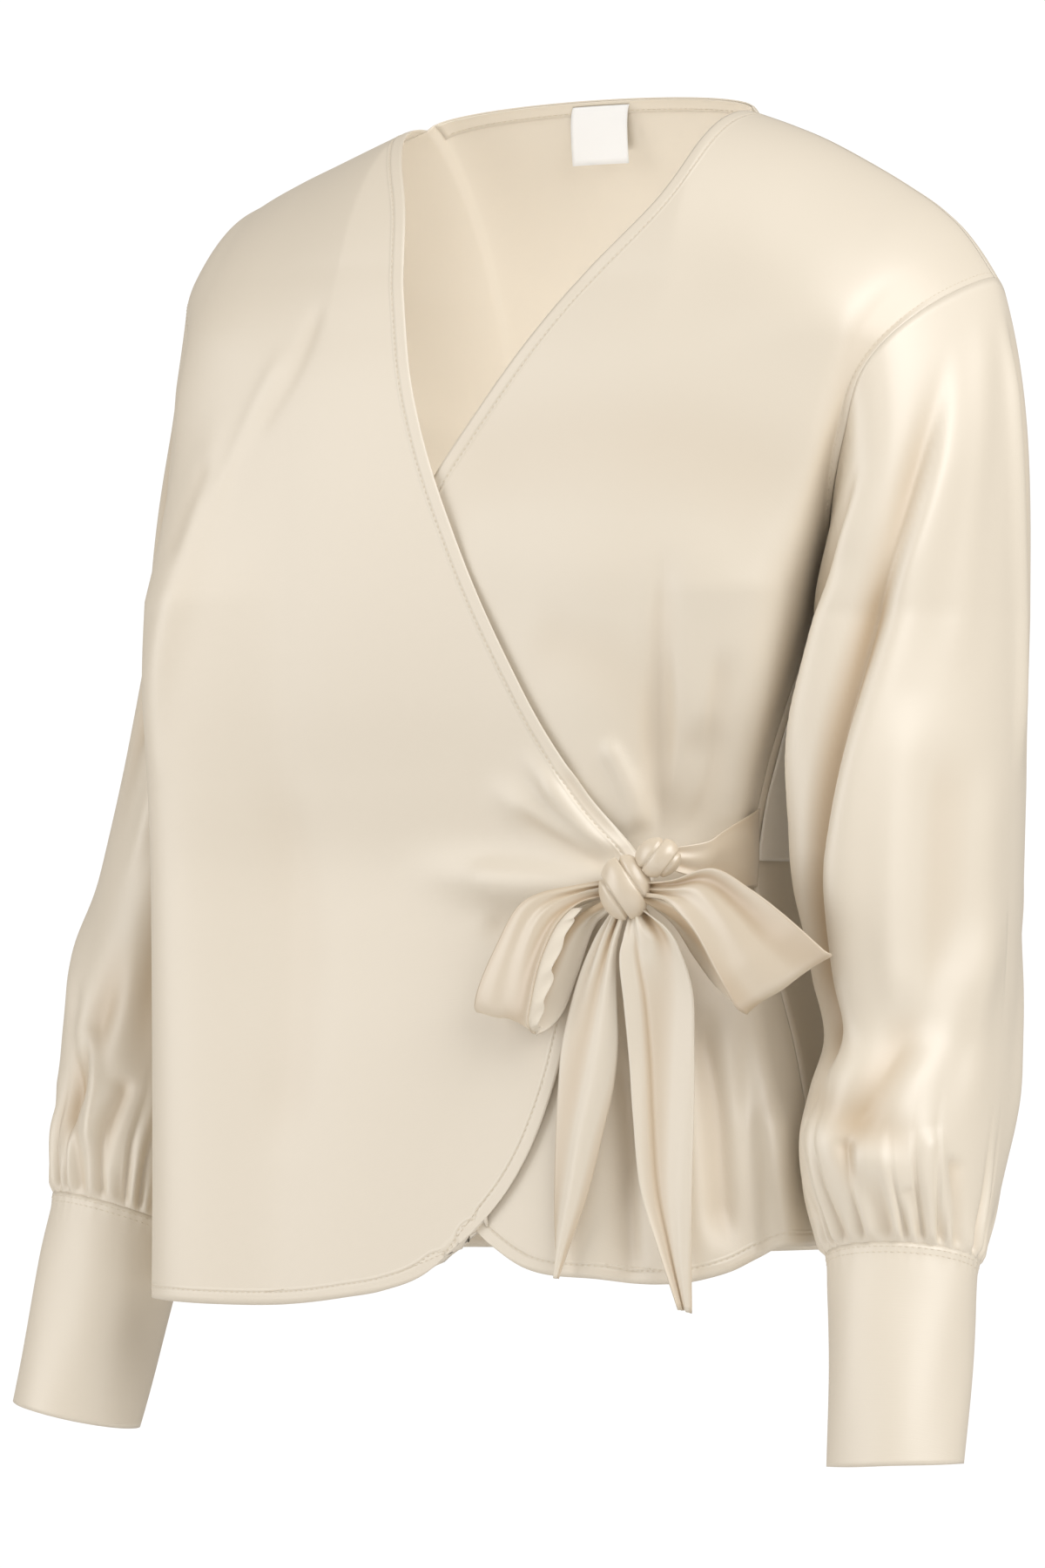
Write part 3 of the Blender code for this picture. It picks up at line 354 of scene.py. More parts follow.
TAIL_BACK = (
    (80, -133.5, -415, 86, -133.5, -417),
    (73, -136, -423, 84.5, -136, -428),
    (63.5, -137, -444, 84.5, -136.5, -447),
    (55.5, -138, -473, 85.5, -137, -474),
    (52.5, -138, -497, 83.5, -137.5, -495),
    (50.7, -138, -520, 78, -138, -518),
    (49.6, -138, -552, 69, -138, -550),
    (49.8, -138, -575, 60, -138, -574),
    (51, -138, -591, 53.5, -138, -592),
)
RIBBON_CUP = {"tie_strap": 0, "tie_loop_inner": 2, "tie_loop_outer": -2,
              "tie_tail_front": 2, "tie_tail_back": -2}
RIBBON_FLIP = {"tie_strap": False, "tie_loop_inner": False, "tie_loop_outer": True,
               "tie_tail_front": False, "tie_tail_back": False}

# The shown cloth is thinner than the solids' walls, and its points are closer together.
CLOTH = 0.6
TIE_CLOTH = 0.8
CUFF_CLOTH = 1.1
THIN_CLOTH = 0.5
FINE_ROWS_TOP = 70
FINE_ROWS_LOW = 110
FINE_COLUMNS = 140
BACK_FINE_LOW = 80
BACK_FINE_COLUMNS = 190
CAP_FINE_ROWS = 36
ARM_FINE_ROWS = 60
GATHER_FINE_ROWS = 48
SLEEVE_AROUND = 216
CUFF_AROUND = 144
CUFF_LEVELS = 44
# How far the back's depth is smoothed under the ends of the neck's arc.
EASE_COLUMNS = 8
EASE_ROWS = 14

# Creases along curved lines: height over (ridge) or under (trough) the cloth, the width on the left and
# the right as one follows the line, and the line's points. On the torso a point is (x, z).
CREASE_POINTS = 18
CREASE_END = 0.2
CREASES_LEFT = (
    (-2.4, 5, 9, ((92, -378), (95, -333), (100, -290), (107, -225))),
    (-2.2, 4, 8, ((100, -375), (115, -350), (124, -318), (135, -275))),
    (3.5, 5, 5, ((84, -372), (82, -350), (72, -322))),
    (-4.5, 3.5, 9, ((119, -455), (130, -507), (138, -580))),
    (-2.9, 5, 8, ((76, -470), (82, -540), (86, -600))),
    (2.9, 8, 9, ((146, -500), (158, -560), (163, -585))),
    (-1.8, 26, 30, ((-30, -196), (40, -176), (110, -178), (190, -206))),
    (1.6, 20, 20, ((-20, -225), (60, -238), (150, -238))),
    (-1.5, 18, 16, ((30, -268), (80, -290), (104, -345))),
    (-3.2, 12, 8, ((222, -84), (206, -112), (192, -148), (182, -200), (176, -250))),
)
CREASES_RIGHT = (
    (-3, 4.5, 5, ((80, -389), (50, -376), (20, -359))),
    (2.7, 4, 6, ((84, -384), (58, -366), (36, -340))),
    (-2, 3.5, 5, ((76, -376), (60, -356), (50, -338))),
    (2.2, 8, 10, ((70, -402), (30, -402), (-10, -392))),
    (-2.4, 8, 10, ((66, -416), (30, -420), (0, -412))),
    (-1, 4, 6, ((-100, -95), (-110, -133), (-133, -168))),
    (1, 5, 5, ((-118, -120), (-140, -165), (-158, -210))),
    (-1.2, 5, 7, ((-160, -174), (-172, -205), (-180, -230))),
    (1.4, 8, 8, ((-168, -235), (-184, -290), (-186, -350))),
    (-1.2, 12, 16, ((-120, -330), (-100, -430), (-110, -540))),
)
CREASES_BACK = (
    (2.4, 14, 16, ((150, -240), (120, -300), (60, -350))),
    (-2.2, 12, 14, ((-150, -240), (-110, -290), (-40, -320))),
    (1.8, 18, 14, ((-60, -360), (-50, -470), (-56, -590))),
    (-1.8, 16, 16, ((50, -380), (60, -480), (58, -590))),
    (1.5, 10, 12, ((190, -110), (150, -150), (90, -170))),
    (-1.5, 10, 12, ((-190, -110), (-150, -145), (-80, -160))),
)
# On a sleeve a point is (degrees round it, height); heights over the cap's ring run up to the seam.
CREASES_NEAR = (
    (-5, 13, 4.5, ((44, -116), (62, -190), (80, -255), (94, -302),
                   (110, -370), (113, -400), (115, -456), (124, -510))),
    (5, 6, 18, ((34, -112), (51, -190), (69, -255), (83, -302),
                (99, -370), (103, -400), (105, -456), (114, -512))),
    (4, 5, 12, ((96, -150), (108, -222), (121, -288), (132, -340), (137, -396), (134, -446))),
    (-5, 12, 5, ((106, -150), (118, -222), (132, -288), (144, -340), (149, -396), (146, -446))),
    (1.6, 8, 10, ((20, -100), (26, -160), (34, -240), (36, -300))),
    (3.4, 6, 8, ((2, -106), (-2, -180), (-8, -260), (-12, -350))),
    (-3, 5, 9, ((-8, -104), (-13, -170), (-20, -260), (-24, -350))),
    (1.9, 10, 12, ((58, -300), (66, -380), (70, -470))),
    (-1.6, 10, 14, ((40, -320), (44, -420), (50, -510))),
    (1.8, 9, 12, ((14, -330), (18, -420), (24, -530))),
    (-2.6, 13, 12, ((146, -496), (112, -514), (78, -522), (52, -544))),
    (1.8, 12, 11, ((144, -518), (112, -534), (84, -542), (62, -552))),
    (2.6, 8, 7, ((46, -524), (38, -546), (38, -575))),
    (-3.4, 5, 6, ((98, -530), (94, -550), (86, -572))),
    (-3, 5, 6, ((30, -535), (28, -556), (26, -574))),
    (-2.2, 5, 6, ((60, -556), (58, -562), (56, -568))),
    (-3, 7, 7, ((230, -300), (236, -380), (228, -470))),
    (2.6, 9, 9, ((290, -240), (282, -330), (286, -430))),
    (-2.6, 8, 9, ((322, -390), (310, -460), (312, -530))),
)
CREASES_FAR = (
    (-3.6, 7, 9, ((40, -120), (52, -190), (60, -270), (62, -330))),
    (3.2, 8, 8, ((70, -170), (84, -250), (88, -330), (80, -400))),
    (-3.6, 6, 7, ((54, -440), (58, -488), (74, -556))),
    (3.6, 6, 6, ((70, -470), (86, -520), (90, -556))),
    (-3.6, 6, 7, ((104, -500), (102, -528), (98, -562))),
    (3.2, 9, 10, ((20, -430), (36, -480), (40, -530))),
    (-3.6, 8, 9, ((120, -200), (136, -300), (140, -400))),
    (2.9, 9, 9, ((240, -240), (250, -330), (246, -430))),
    (-3.2, 8, 9, ((300, -330), (292, -420), (300, -500))),
)
# Where the solids' folds begin below the shoulder, and how far from the cuff and from the armhole seam the
# creases have died out.
FOLDS_FROM = (222, 272)
CUFF_CALM = (4, 40)
SEAM_CALM = 26
# The cuffs' gathers: how uneven their places are, how far single ones reach up, and their height. The
# sleeve's end runs down inside the cuff, drawn in behind the cuff's edge, which stands out a little.
GATHER_WANDER = 0.05
GATHER_LONG = 42
GATHER_SHORT = 14
GATHER_HEIGHT = 3
RUN_IN = 1.6
TUCK = 0.9
CUFF_LIP = 0.7

# Stitches.
STITCH_IN = 6.5
ARMHOLE_STITCH_IN = 3.2
CUFF_STITCHES_IN = (2.2, 5)
STITCH_LONG = 2.3
STITCH_GAP = 0.9
THREAD = 0.34
# A stitch's lift off the cloth and its size at its two ends and its middle.
THREAD_LIFT = (-0.05, 0.14, -0.05)
THREAD_SIZE = (0.35, 1, 0.35)
THREAD_FLAT = 0.7
# The hem's groove and the step where the turned-in cloth ends, by distance from the edge.
GROOVE_WIDTH = 0.8
HEM_FROM = 7
HEM_TO = 8.6
HEM_STEP = 0.35

# The light.
SEEN_SURROUND = 1.05
AMBIENT = 0.34
# Each light's place to the camera's right, towards the camera and up from LIT_Z; its size; its watts.
LIGHTS = (
    ("key", (1.2, 1.6, 1.4), (2.2, 2.2), 53),
    ("fill", (-2.3, 0.8, 0.5), (1.6, 2.4), 27),
)
BOUNCE = (1, 0.90, 0.77)
# A small lamp under the neck stands for light that a studio throws in: its place, aim, size and watts.
NECK_LAMP = ((0, -0.06, -0.2), (0, 0.1, -0.13), (0.14, 0.12), 0.26)
LIT_Z = -0.3
FLOOR_HALF = 1.8
FLOOR_Z = -1
FLOOR_WHITE = (0.95, 0.95, 0.95)
# The camera, in metres and degrees.
CAMERA_TURN = 28
CAMERA_ACROSS = -0.036
CAMERA_AWAY = 3.8
CAMERA_Z = -0.426
CAMERA_AIM_Z = -0.343
CAMERA_LENS = 168.9
# The satin's shine and weave, and its colours.
SHEEN_ROUGHNESS = 0.35
ACROSS_THREADS = 0.45
THREADS_A_METRE = (90, 1500, 1)
CLOUDS_A_METRE = 60
SATIN = (0.765, 0.697, 0.588)
# The ties' satin: a darker copy of the same satin, painted shade for the bow.
SATIN_TIE_PAINTED_SHADE = (0.700, 0.605, 0.475)
SATIN_INSIDE = (0.80, 0.735, 0.63)
# Painted shade in folds: deep in a fold the colour is darkened and warmed by these shares, in place of the
# shade and the cloth's own reflected light there.
PAINTED_FOLD_SHADE = (0.78, 0.68, 0.56)
# Depth in millimetres at which the painted shade is full, and its share on the fronts.
PAINTED_SHADE_FULL_DEPTH = 7
FRONT_PAINTED_SHADE_SHARE = 0.6
# The matte strip's pale colour, raised further as painted light for the shade that it sits in between the
# sleeve and the body.
MATTE_AND_PAINTED_LIGHT = (0.97, 0.94, 0.88)
THREAD_COLOUR = (0.76, 0.685, 0.56)
LABEL_WHITE = (0.92, 0.93, 0.94)

# The ties: how much more painted shade a pleat gets than a fold, the pale ruffle's rows and width on the
# left loop, and
# the pleats of each tie: the pinched ends, depth, count, seed and, on the front tail, a long fold's depth.
TIE_PAINTED_SHADE = 4.5
RUFFLE_ROWS = (14, 62)
RUFFLE_WIDTH = 7.5
PLEATS = {"tie_strap": ((1,), 0.8, 1.5, 0.4), "tie_loop_inner": ((0, 1), 1.5, 2.2, 1),
          "tie_loop_outer": ((0, 1), 1.7, 2, 2.2), "tie_tail_front": ((0,), 2.2, 1.5, 3.1, 1.3),
          "tie_tail_back": ((0,), 2.2, 2, 4.4)}


def curve_through(knots, values, at):
    """A smooth curve through one value for each knot, held level past both ends."""
    at = np.asarray(at, float)
    knots = np.asarray(knots, float)
    values = np.stack([np.broadcast_to(value, at.shape) for value in values])
    slopes = np.gradient(values, knots, axis=0)
    at = np.clip(at, knots[0], knots[-1])
    low = np.clip(np.searchsorted(knots, at, side="right") - 1, 0, len(knots) - 2)
    span = knots[low + 1] - knots[low]
    part = (at - knots[low]) / span

    def take(rows, index):
        return np.take_along_axis(rows, index[None], 0)[0]

    return (
        (2 * part**3 - 3 * part**2 + 1) * take(values, low)
        + (part**3 - 2 * part**2 + part) * span * take(slopes, low)
        + (3 * part**2 - 2 * part**3) * take(values, low + 1)
        + (part**3 - part**2) * span * take(slopes, low + 1)
    )


def column(table, columns, name, at):
    """A named column of a table, at values of its first column."""
    knots = [row[0] for row in table]
    return curve_through(knots, [row[columns.index(name)] for row in table], at)


def soft_step(value, low, high):
    """0 up to low, 1 from high on, and smooth between."""
    part = np.clip((np.asarray(value, float) - low) / (high - low), 0, 1)
    return part * part * (3 - 2 * part)


def edge_column(table, name, z):
    """The section's edge, whose side seam and armhole meet at an angle at the underarm."""
    seam = [row for row in table if row[0] <= UNDERARM_Z]
    hole = [row for row in table if row[0] >= UNDERARM_Z]
    below = column(seam, SECTION_COLUMNS, name, z)
    above = column(hole, SECTION_COLUMNS, name, z)
    return np.where(z <= UNDERARM_Z, below, above)


def half_section(table, across, z):
    """x (outwards) and y of a half section, at 0 in the middle to 1 on its edge."""
    centre = column(table, SECTION_COLUMNS, "centre_y", z)
    corner_x = column(table, SECTION_COLUMNS, "corner_x", z)
    corner_y = column(table, SECTION_COLUMNS, "corner_y", z)
    edge_x = edge_column(table, "edge_x", z)
    edge_y = edge_column(table, "edge_y", z)
    middle_x = MIDDLE_OF_CORNER * corner_x
    middle_y = MIDDLE_DEPTH * centre
    x = curve_through(ACROSS, (-middle_x, 0 * z, middle_x, corner_x, edge_x), across)
    y = curve_through(ACROSS, (middle_y, centre, middle_y, corner_y, edge_y), across)
    return x, y


def section(near, far, across, z):
    """x and y of the torso at -1 (far edge) to 1 (near edge) across, before the shoulder's rounding."""
    near_x, near_y = half_section(near, np.abs(across), z)
    far_x, far_y = half_section(far, np.abs(across), z)
    side = across >= 0
    return np.where(side, near_x, -far_x), np.where(side, near_y, far_y)


def shoulder_height(x):
    """Height of the shoulder seam above a place across; level inside the neck."""
    knots = [row[0] for row in SHOULDER]
    near = curve_through(knots, [row[1] for row in SHOULDER], np.abs(x))
    far = curve_through(knots, [row[2] for row in SHOULDER], np.abs(x))
    return np.where(x >= 0, near, far)


def shoulder_depth(x):
    """y of the shoulder seam, which runs a little forward towards its tip."""
    part = np.clip((np.abs(x) - NECK_X) / (SHOULDER_X - NECK_X), 0, 1)
    return RIDGE_NECK_Y + (RIDGE_TIP_Y - RIDGE_NECK_Y) * part


def round_over(y, z, top_y, top_z, reach, slack):
    """Draws y in towards the top line, as cloth rounding over a shoulder (slack 0) or a neck (1)."""
    part = np.clip((top_z - z) / reach, 0, 1)
    circle = np.sqrt(np.clip(1 - (1 - part) ** 2, 0, 1))
    slope = np.sin(part * math.pi / 2)
    return top_y + (y - top_y) * (circle * (1 - slack) + slope * slack)


def front_surface(across, z):
    """The torso's front as points, at each place across and height."""
    x, y = section(FRONT_NEAR, FRONT_FAR, across, z)
    reach = ROUND_NECK + (ROUND_TIP - ROUND_NECK) * soft_step(np.abs(x), NECK_X, SHOULDER_X - 10)
    slack = SHOULDER_SLACK * soft_step(np.abs(x), NECK_X, SHOULDER_X - 40)
    y = round_over(y, z, shoulder_depth(x), shoulder_height(x), reach, slack)
    return np.stack([x, y, z], axis=-1)


def neck_curve(x):
    """y and z of the torso's top line at the back: the neck's arc, then the shoulder seams."""
    inside = np.sqrt(np.clip(1 - (x / NECK_X) ** 2, 0, 1))
    y = shoulder_depth(x) + (NECK_BACK_Y - RIDGE_NECK_Y) * inside
    return y, shoulder_height(x) + NECK_BACK_RISE * inside**0.9


def back_surface(across, z):
    """The torso's back as points, at each place across and height."""
    x, y = section(BACK_NEAR, BACK_FAR, across, z)
    top_y, top_z = neck_curve(x)
    reach = ROUND_BACK + (ROUND_TIP - ROUND_BACK) * soft_step(np.abs(x), NECK_X, SHOULDER_X - 10)
    slack = 0.85 - (0.85 - SHOULDER_SLACK) * soft_step(np.abs(x), NECK_X * 0.6, NECK_X * 1.3)
    y = round_over(y, z, top_y, top_z, reach, slack)
    return np.stack([x, y, z], axis=-1)


def across_at(near, far, x, z):
    """The place across, -0.8 to 0.8, where a section has this x."""
    trial = np.linspace(-0.8, 0.8, 161)
    found = []
    for one_x, one_z in zip(np.atleast_1d(x), np.atleast_1d(z)):
        xs, _ = section(near, far, trial, np.full(trial.shape, one_z))
        found.append(np.interp(one_x, xs, trial))
    return np.array(found)


def normals_of(grid):
    """Unit normals of a grid of points (rows down, columns across)."""
    down = np.gradient(grid, axis=0)
    over = np.gradient(grid, axis=1)
    normal = np.cross(over, down)
    return normal / np.maximum(np.linalg.norm(normal, axis=-1, keepdims=True), 1e-9)


def fold_height(folds, u, v, u_scale=1.0, end=FOLD_END):
    """Summed height of straight folds at places (u, v); u_scale turns u into millimetres."""
    total = np.zeros(np.shape(u))
    for u0, v0, u1, v1, height, width in folds:
        du, dv = (u1 - u0) * u_scale, v1 - v0
        pu, pv = (u - u0) * u_scale, v - v0
        length = math.hypot(du, dv)
        along = (pu * du + pv * dv) / length**2
        off = np.abs(pu * dv - pv * du) / length
        taper = soft_step(along, -end, end) * (1 - soft_step(along, 1 - end, 1 + end))
        total = total + height * taper * np.exp(-((off / width) ** 2))
    return total


def row_heights(top_z, hem_z, rows_top, rows_low):
    """Heights of a panel's points: rows from the shoulder to the underarm, then rows to the hem."""
    above = np.linspace(0, 1, rows_top + 1)[:, None] ** ROW_CROWDING
    below = np.linspace(0, 1, rows_low + 1)[1:, None]
    return np.concatenate([top_z + (UNDERARM_Z - top_z) * above, UNDERARM_Z + (hem_z - UNDERARM_Z) * below])


def front_grid(right, rows_top, rows_low, columns):
    """Outer points of a front: rows from shoulder to hem, columns from the wrap edge to the side."""
    side = -1.0 if right else 1.0
    edge = RIGHT_EDGE if right else LEFT_EDGE
    hem = RIGHT_HEM if right else LEFT_HEM
    share = np.linspace(0, 1, columns + 1)
    neck = across_at(FRONT_NEAR, FRONT_FAR, side * NECK_X, 0.0)[0]
    shoulder_across = neck + (side - neck) * share
    shoulder_x, _ = section(FRONT_NEAR, FRONT_FAR, shoulder_across, 0 * share)
    top_z = shoulder_height(shoulder_x)
    corner = edge[0]
    low = across_at(FRONT_NEAR, FRONT_FAR, corner[1], corner[0])[0]
    hem_across = low + (side - low) * share
    hem_x, _ = section(FRONT_NEAR, FRONT_FAR, hem_across, np.full(share.shape, corner[0]))
    hem_z = column(hem, HEM_COLUMNS, "z", hem_x)
    z = row_heights(top_z, hem_z, rows_top, rows_low)
    edge_x = column(edge, EDGE_COLUMNS, "x", z[:, 0])
    start = across_at(FRONT_NEAR, FRONT_FAR, edge_x, z[:, 0])
    across = start[:, None] + (side - start)[:, None] * share[None, :]
    grid = front_surface(across, z)
    out = -normals_of(grid) * side
    below = soft_step(-z, 60.0, 180.0)
    inward = 1 - soft_step(np.abs(across), 0.6, 0.95)
    at_side = soft_step(1 - np.abs(across), 0.0, 0.12)
    lift = fold_height(FRONT_FOLDS, grid[..., 0], z) * at_side
    if right:
        own = fold_height(RIGHT_FOLDS, grid[..., 0], z) * at_side
        lift = lift * soft_step(grid[..., 0], 40.0, 80.0) + own
        lift = lift + OVERLAP_LIFT * below * np.where(across < 0, inward, 1.0)
    grid = grid + out * lift[..., None]
    grid[0, :, 1] -= HALF_SEAM
    grid[rows_top:, -1, 1] -= HALF_SEAM
    return grid


def back_grid(rows_top, rows_low, columns):
    """Outer points of the back: rows from neck and shoulders to hem, columns from far to near."""
    across_row = np.linspace(-1, 1, columns + 1)
    top_x, _ = section(BACK_NEAR, BACK_FAR, across_row, 0 * across_row)
    _, top_z = neck_curve(top_x)
    near = soft_step(across_row, 0.0, 1.0)
    far = soft_step(-across_row, 0.45, 1.0)
    hem_z = (BACK_HEM_MIDDLE + (BACK_HEM_NEAR - BACK_HEM_MIDDLE) * near
             + (BACK_HEM_FAR - BACK_HEM_MIDDLE) * far)
    z = row_heights(top_z, hem_z, rows_top, rows_low)
    across = np.broadcast_to(across_row, z.shape)
    grid = back_surface(across, z)
    out = normals_of(grid)
    lift = fold_height(BACK_FOLDS, grid[..., 0], z, end=BACK_FOLD_END)
    lift = lift * soft_step(1 - np.abs(across), 0.0, 0.25)
    grid = grid + out * lift[..., None]
    shoulders = np.abs(top_x) >= NECK_X - 1.0
    grid[0, shoulders, 1] += HALF_SEAM
    grid[rows_top:, [0, -1], 1] += HALF_SEAM
    return grid


def armhole(near, count):
    """The armhole's closed seam: from the shoulder tip down the front, and up the back."""
    side = 1.0 if near else -1.0
    tip_z = NEAR_TIP_Z if near else FAR_TIP_Z
    z = tip_z + (UNDERARM_Z - tip_z) * np.linspace(0, 1, count // 2 + 1) ** ROW_CROWDING
    edge = np.full(z.shape, side)
    return np.concatenate([front_surface(edge, z)[:-1], back_surface(edge, z)[:0:-1]])


def forearm_lean(cuff):
    """The angle at which a cuff slants forward."""
    top, bottom = cuff
    return math.atan((bottom[1] - top[1]) / (bottom[2] - top[2]))


def sleeve_ring(near, z, turn):
    """A ring of the sleeve where its path is at height z; low rings lean until they fit the cuff."""
    table = SLEEVE_NEAR if near else SLEEVE_FAR
    cuff = CUFF_NEAR if near else CUFF_FAR
    side = 1.0 if near else -1.0
    x, y, half_x, half_y = (float(column(table, SLEEVE_COLUMNS, name, z)) for name in SLEEVE_COLUMNS[1:])
    near_cuff = float(soft_step(-z, 430.0, -table[0][0]))
    lean = forearm_lean(cuff) * near_cuff
    roll = (CUFF_ROLL_NEAR if near else CUFF_ROLL_FAR) * near_cuff
    out = np.cos(turn) * half_x
    fore = np.sin(turn) * half_y
    rise = fore * math.sin(lean) + out * roll
    return np.stack([side * (x + out), y - fore * math.cos(lean), z + rise], axis=-1)


def cuff_grid(rows, side, count, levels):
    """A closed cuff: rings square to the line from its top to its bottom."""
    top, bottom = (np.array(row) for row in rows)
    turn = np.linspace(0, 2 * math.pi, count + 1)[:-1]
    roll = CUFF_ROLL_NEAR if side > 0 else CUFF_ROLL_FAR
    grid = []
    for part in np.linspace(0, 1, levels + 1):
        lean = forearm_lean(rows) * (1 - (1 - CUFF_BOTTOM_TILT) * part)
        x, y, z, half_x, half_y = top + (bottom - top) * part
        half_x, half_y = half_x - CUFF_EASE * (1 - part), half_y - CUFF_EASE * (1 - part)
        out, fore = np.cos(turn) * half_x, np.sin(turn) * half_y
        grid.append(np.stack([side * (x + out), y - fore * math.cos(lean),
                              z - HALF_SEAM + fore * math.sin(lean) + out * roll], axis=-1))
    return np.array(grid)


def on_grid(grid, rows, columns):
    """Points of a grid at part rows and columns, straight between its own points."""
    rows = np.asarray(rows, float)
    columns = np.asarray(columns, float)
    row = np.clip(np.floor(rows).astype(int), 0, grid.shape[0] - 2)
    col = np.clip(np.floor(columns).astype(int), 0, grid.shape[1] - 2)
    down = (rows - row)[:, None, None]
    over = (columns - col)[None, :, None]
    upper = grid[row][:, col] * (1 - over) + grid[row][:, col + 1] * over
    lower = grid[row + 1][:, col] * (1 - over) + grid[row + 1][:, col + 1] * over
    return upper * (1 - down) + lower * down


def row_below(grid, column, drop):
    """The part row that lies this far under the top of a column."""
    heights = grid[0, column, 2] - grid[:, column, 2]
    return float(np.interp(drop, heights, np.arange(len(heights))))


def patch_on(grid, rows, columns, lift, row_count, column_count):
    """Part of a panel moved off it along its normals; a lift under zero moves it inside."""
    normals = normals_of(grid)
    rows, columns = np.linspace(*rows, row_count), np.linspace(*columns, column_count)
    return on_grid(grid, rows, columns) + on_grid(normals, rows, columns) * lift


def ellipsoid_reach(half, direction):
    """How far an ellipsoid reaches from its middle along a direction."""
    return 1.0 / math.sqrt(sum((part / size) ** 2 for part, size in zip(direction, half)))


def seat(rows, index, centre, half):
    """Moves one end row of a ribbon along the line to the knot's middle, to end just inside the knot."""
    rows = np.array(rows, float)
    middle = (rows[index, :3] + rows[index, 3:]) / 2
    away = middle - centre
    away = away / np.linalg.norm(away)
    shift = centre + away * (ellipsoid_reach(half, away) - KNOT_OVERLAP) - middle
    rows[index, :3] += shift
    rows[index, 3:] += shift
    return rows


def ribbon_grid(rows, per_row, strips, hollow):
    """A ribbon between two edge lines, smooth along its length and cupped across it."""
    rows = np.asarray(rows, float)
    knots = np.arange(len(rows))
    at = np.linspace(0, len(rows) - 1, (len(rows) - 1) * per_row + 1)
    edges = np.stack([curve_through(knots, rows[:, k], at) for k in range(6)], axis=1)
    share = np.linspace(0, 1, strips + 1)[None, :, None]
    grid = edges[:, None, :3] * (1 - share) + edges[:, None, 3:] * share
    return grid + normals_of(grid) * hollow * (4 * share * (1 - share))


def smooth_path(points):
    """A smooth path of many points through a few."""
    points = np.array(points, float)
    knots = np.arange(len(points))
    at = np.linspace(0, len(points) - 1, CREASE_POINTS)
    return np.stack([curve_through(knots, points[:, k], at) for k in range(points.shape[1])], axis=1)


def crease_height(creases, u, v):
    """Summed height of curved creases at places (u, v)."""
    total = np.zeros(np.shape(u))
    for height, left, right, points in creases:
        path = smooth_path(points)
        steps_long = np.linalg.norm(np.diff(path, axis=0), axis=1)
        run = np.concatenate([[0.0], np.cumsum(steps_long)])
        nearest = np.full(total.shape, 1e9)
        place = np.zeros(total.shape)
        side = np.zeros(total.shape)
        for k, (low, high) in enumerate(zip(path[:-1], path[1:])):
            du, dv = high - low
            pu, pv = u - low[0], v - low[1]
            part = np.clip((pu * du + pv * dv) / steps_long[k] ** 2, 0, 1)
            off = np.hypot(pu - part * du, pv - part * dv)
            closer = off < nearest
            nearest = np.where(closer, off, nearest)
            place = np.where(closer, (run[k] + part * steps_long[k]) / run[-1], place)
            side = np.where(closer, pu * dv - pv * du, side)
        width = np.where(side > 0, right, left)
        taper = soft_step(place, 0.0, CREASE_END) * (1 - soft_step(place, 1 - CREASE_END, 1.0))
        total = total + height * taper * np.exp(-((nearest / width) ** 2))
    return total


def math_node(tree, operation, first, second=None):
    """A Math node; numbers are set and sockets are linked."""
    node = tree.nodes.new("ShaderNodeMath")
    node.operation = operation
    for socket, value in zip(node.inputs, (first, second)):
        if value is None:
            continue
        if isinstance(value, (int, float)):
            socket.default_value = value
        else:
            tree.links.new(value, socket)
    return node.outputs[0]


def noise_of(tree, place, scale, detail):
    """A noise texture's value at a place."""
    noise = tree.nodes.new("ShaderNodeTexNoise")
    noise.inputs["Scale"].default_value = scale
    noise.inputs["Detail"].default_value = detail
    tree.links.new(place, noise.inputs["Vector"])
    return noise.outputs[0]


def with_hem(tree, height):
    """Adds the hem to a cloth's height: a groove along the stitch line and a step where the fold ends."""
    edge = tree.nodes.new("ShaderNodeAttribute")
    edge.attribute_name = "edge_mm"
    off = math_node(tree, "SUBTRACT", edge.outputs["Fac"], STITCH_IN)
    off = math_node(tree, "DIVIDE", off, GROOVE_WIDTH)
    dip = math_node(tree, "MULTIPLY", math_node(tree, "POWER", off, 2.0), -1.0)
    dip = math_node(tree, "MULTIPLY", math_node(tree, "EXPONENT", dip), HEM_STEP)
    height = math_node(tree, "SUBTRACT", height, dip)
    step = tree.nodes.new("ShaderNodeMapRange")
    step.interpolation_type = "SMOOTHSTEP"
    for key, value in (("From Min", HEM_FROM), ("From Max", HEM_TO), ("To Min", HEM_STEP), ("To Max", 0.0)):
        step.inputs[key].default_value = value
    tree.links.new(edge.outputs["Fac"], step.inputs["Value"])
    return math_node(tree, "ADD", height, step.outputs[0])


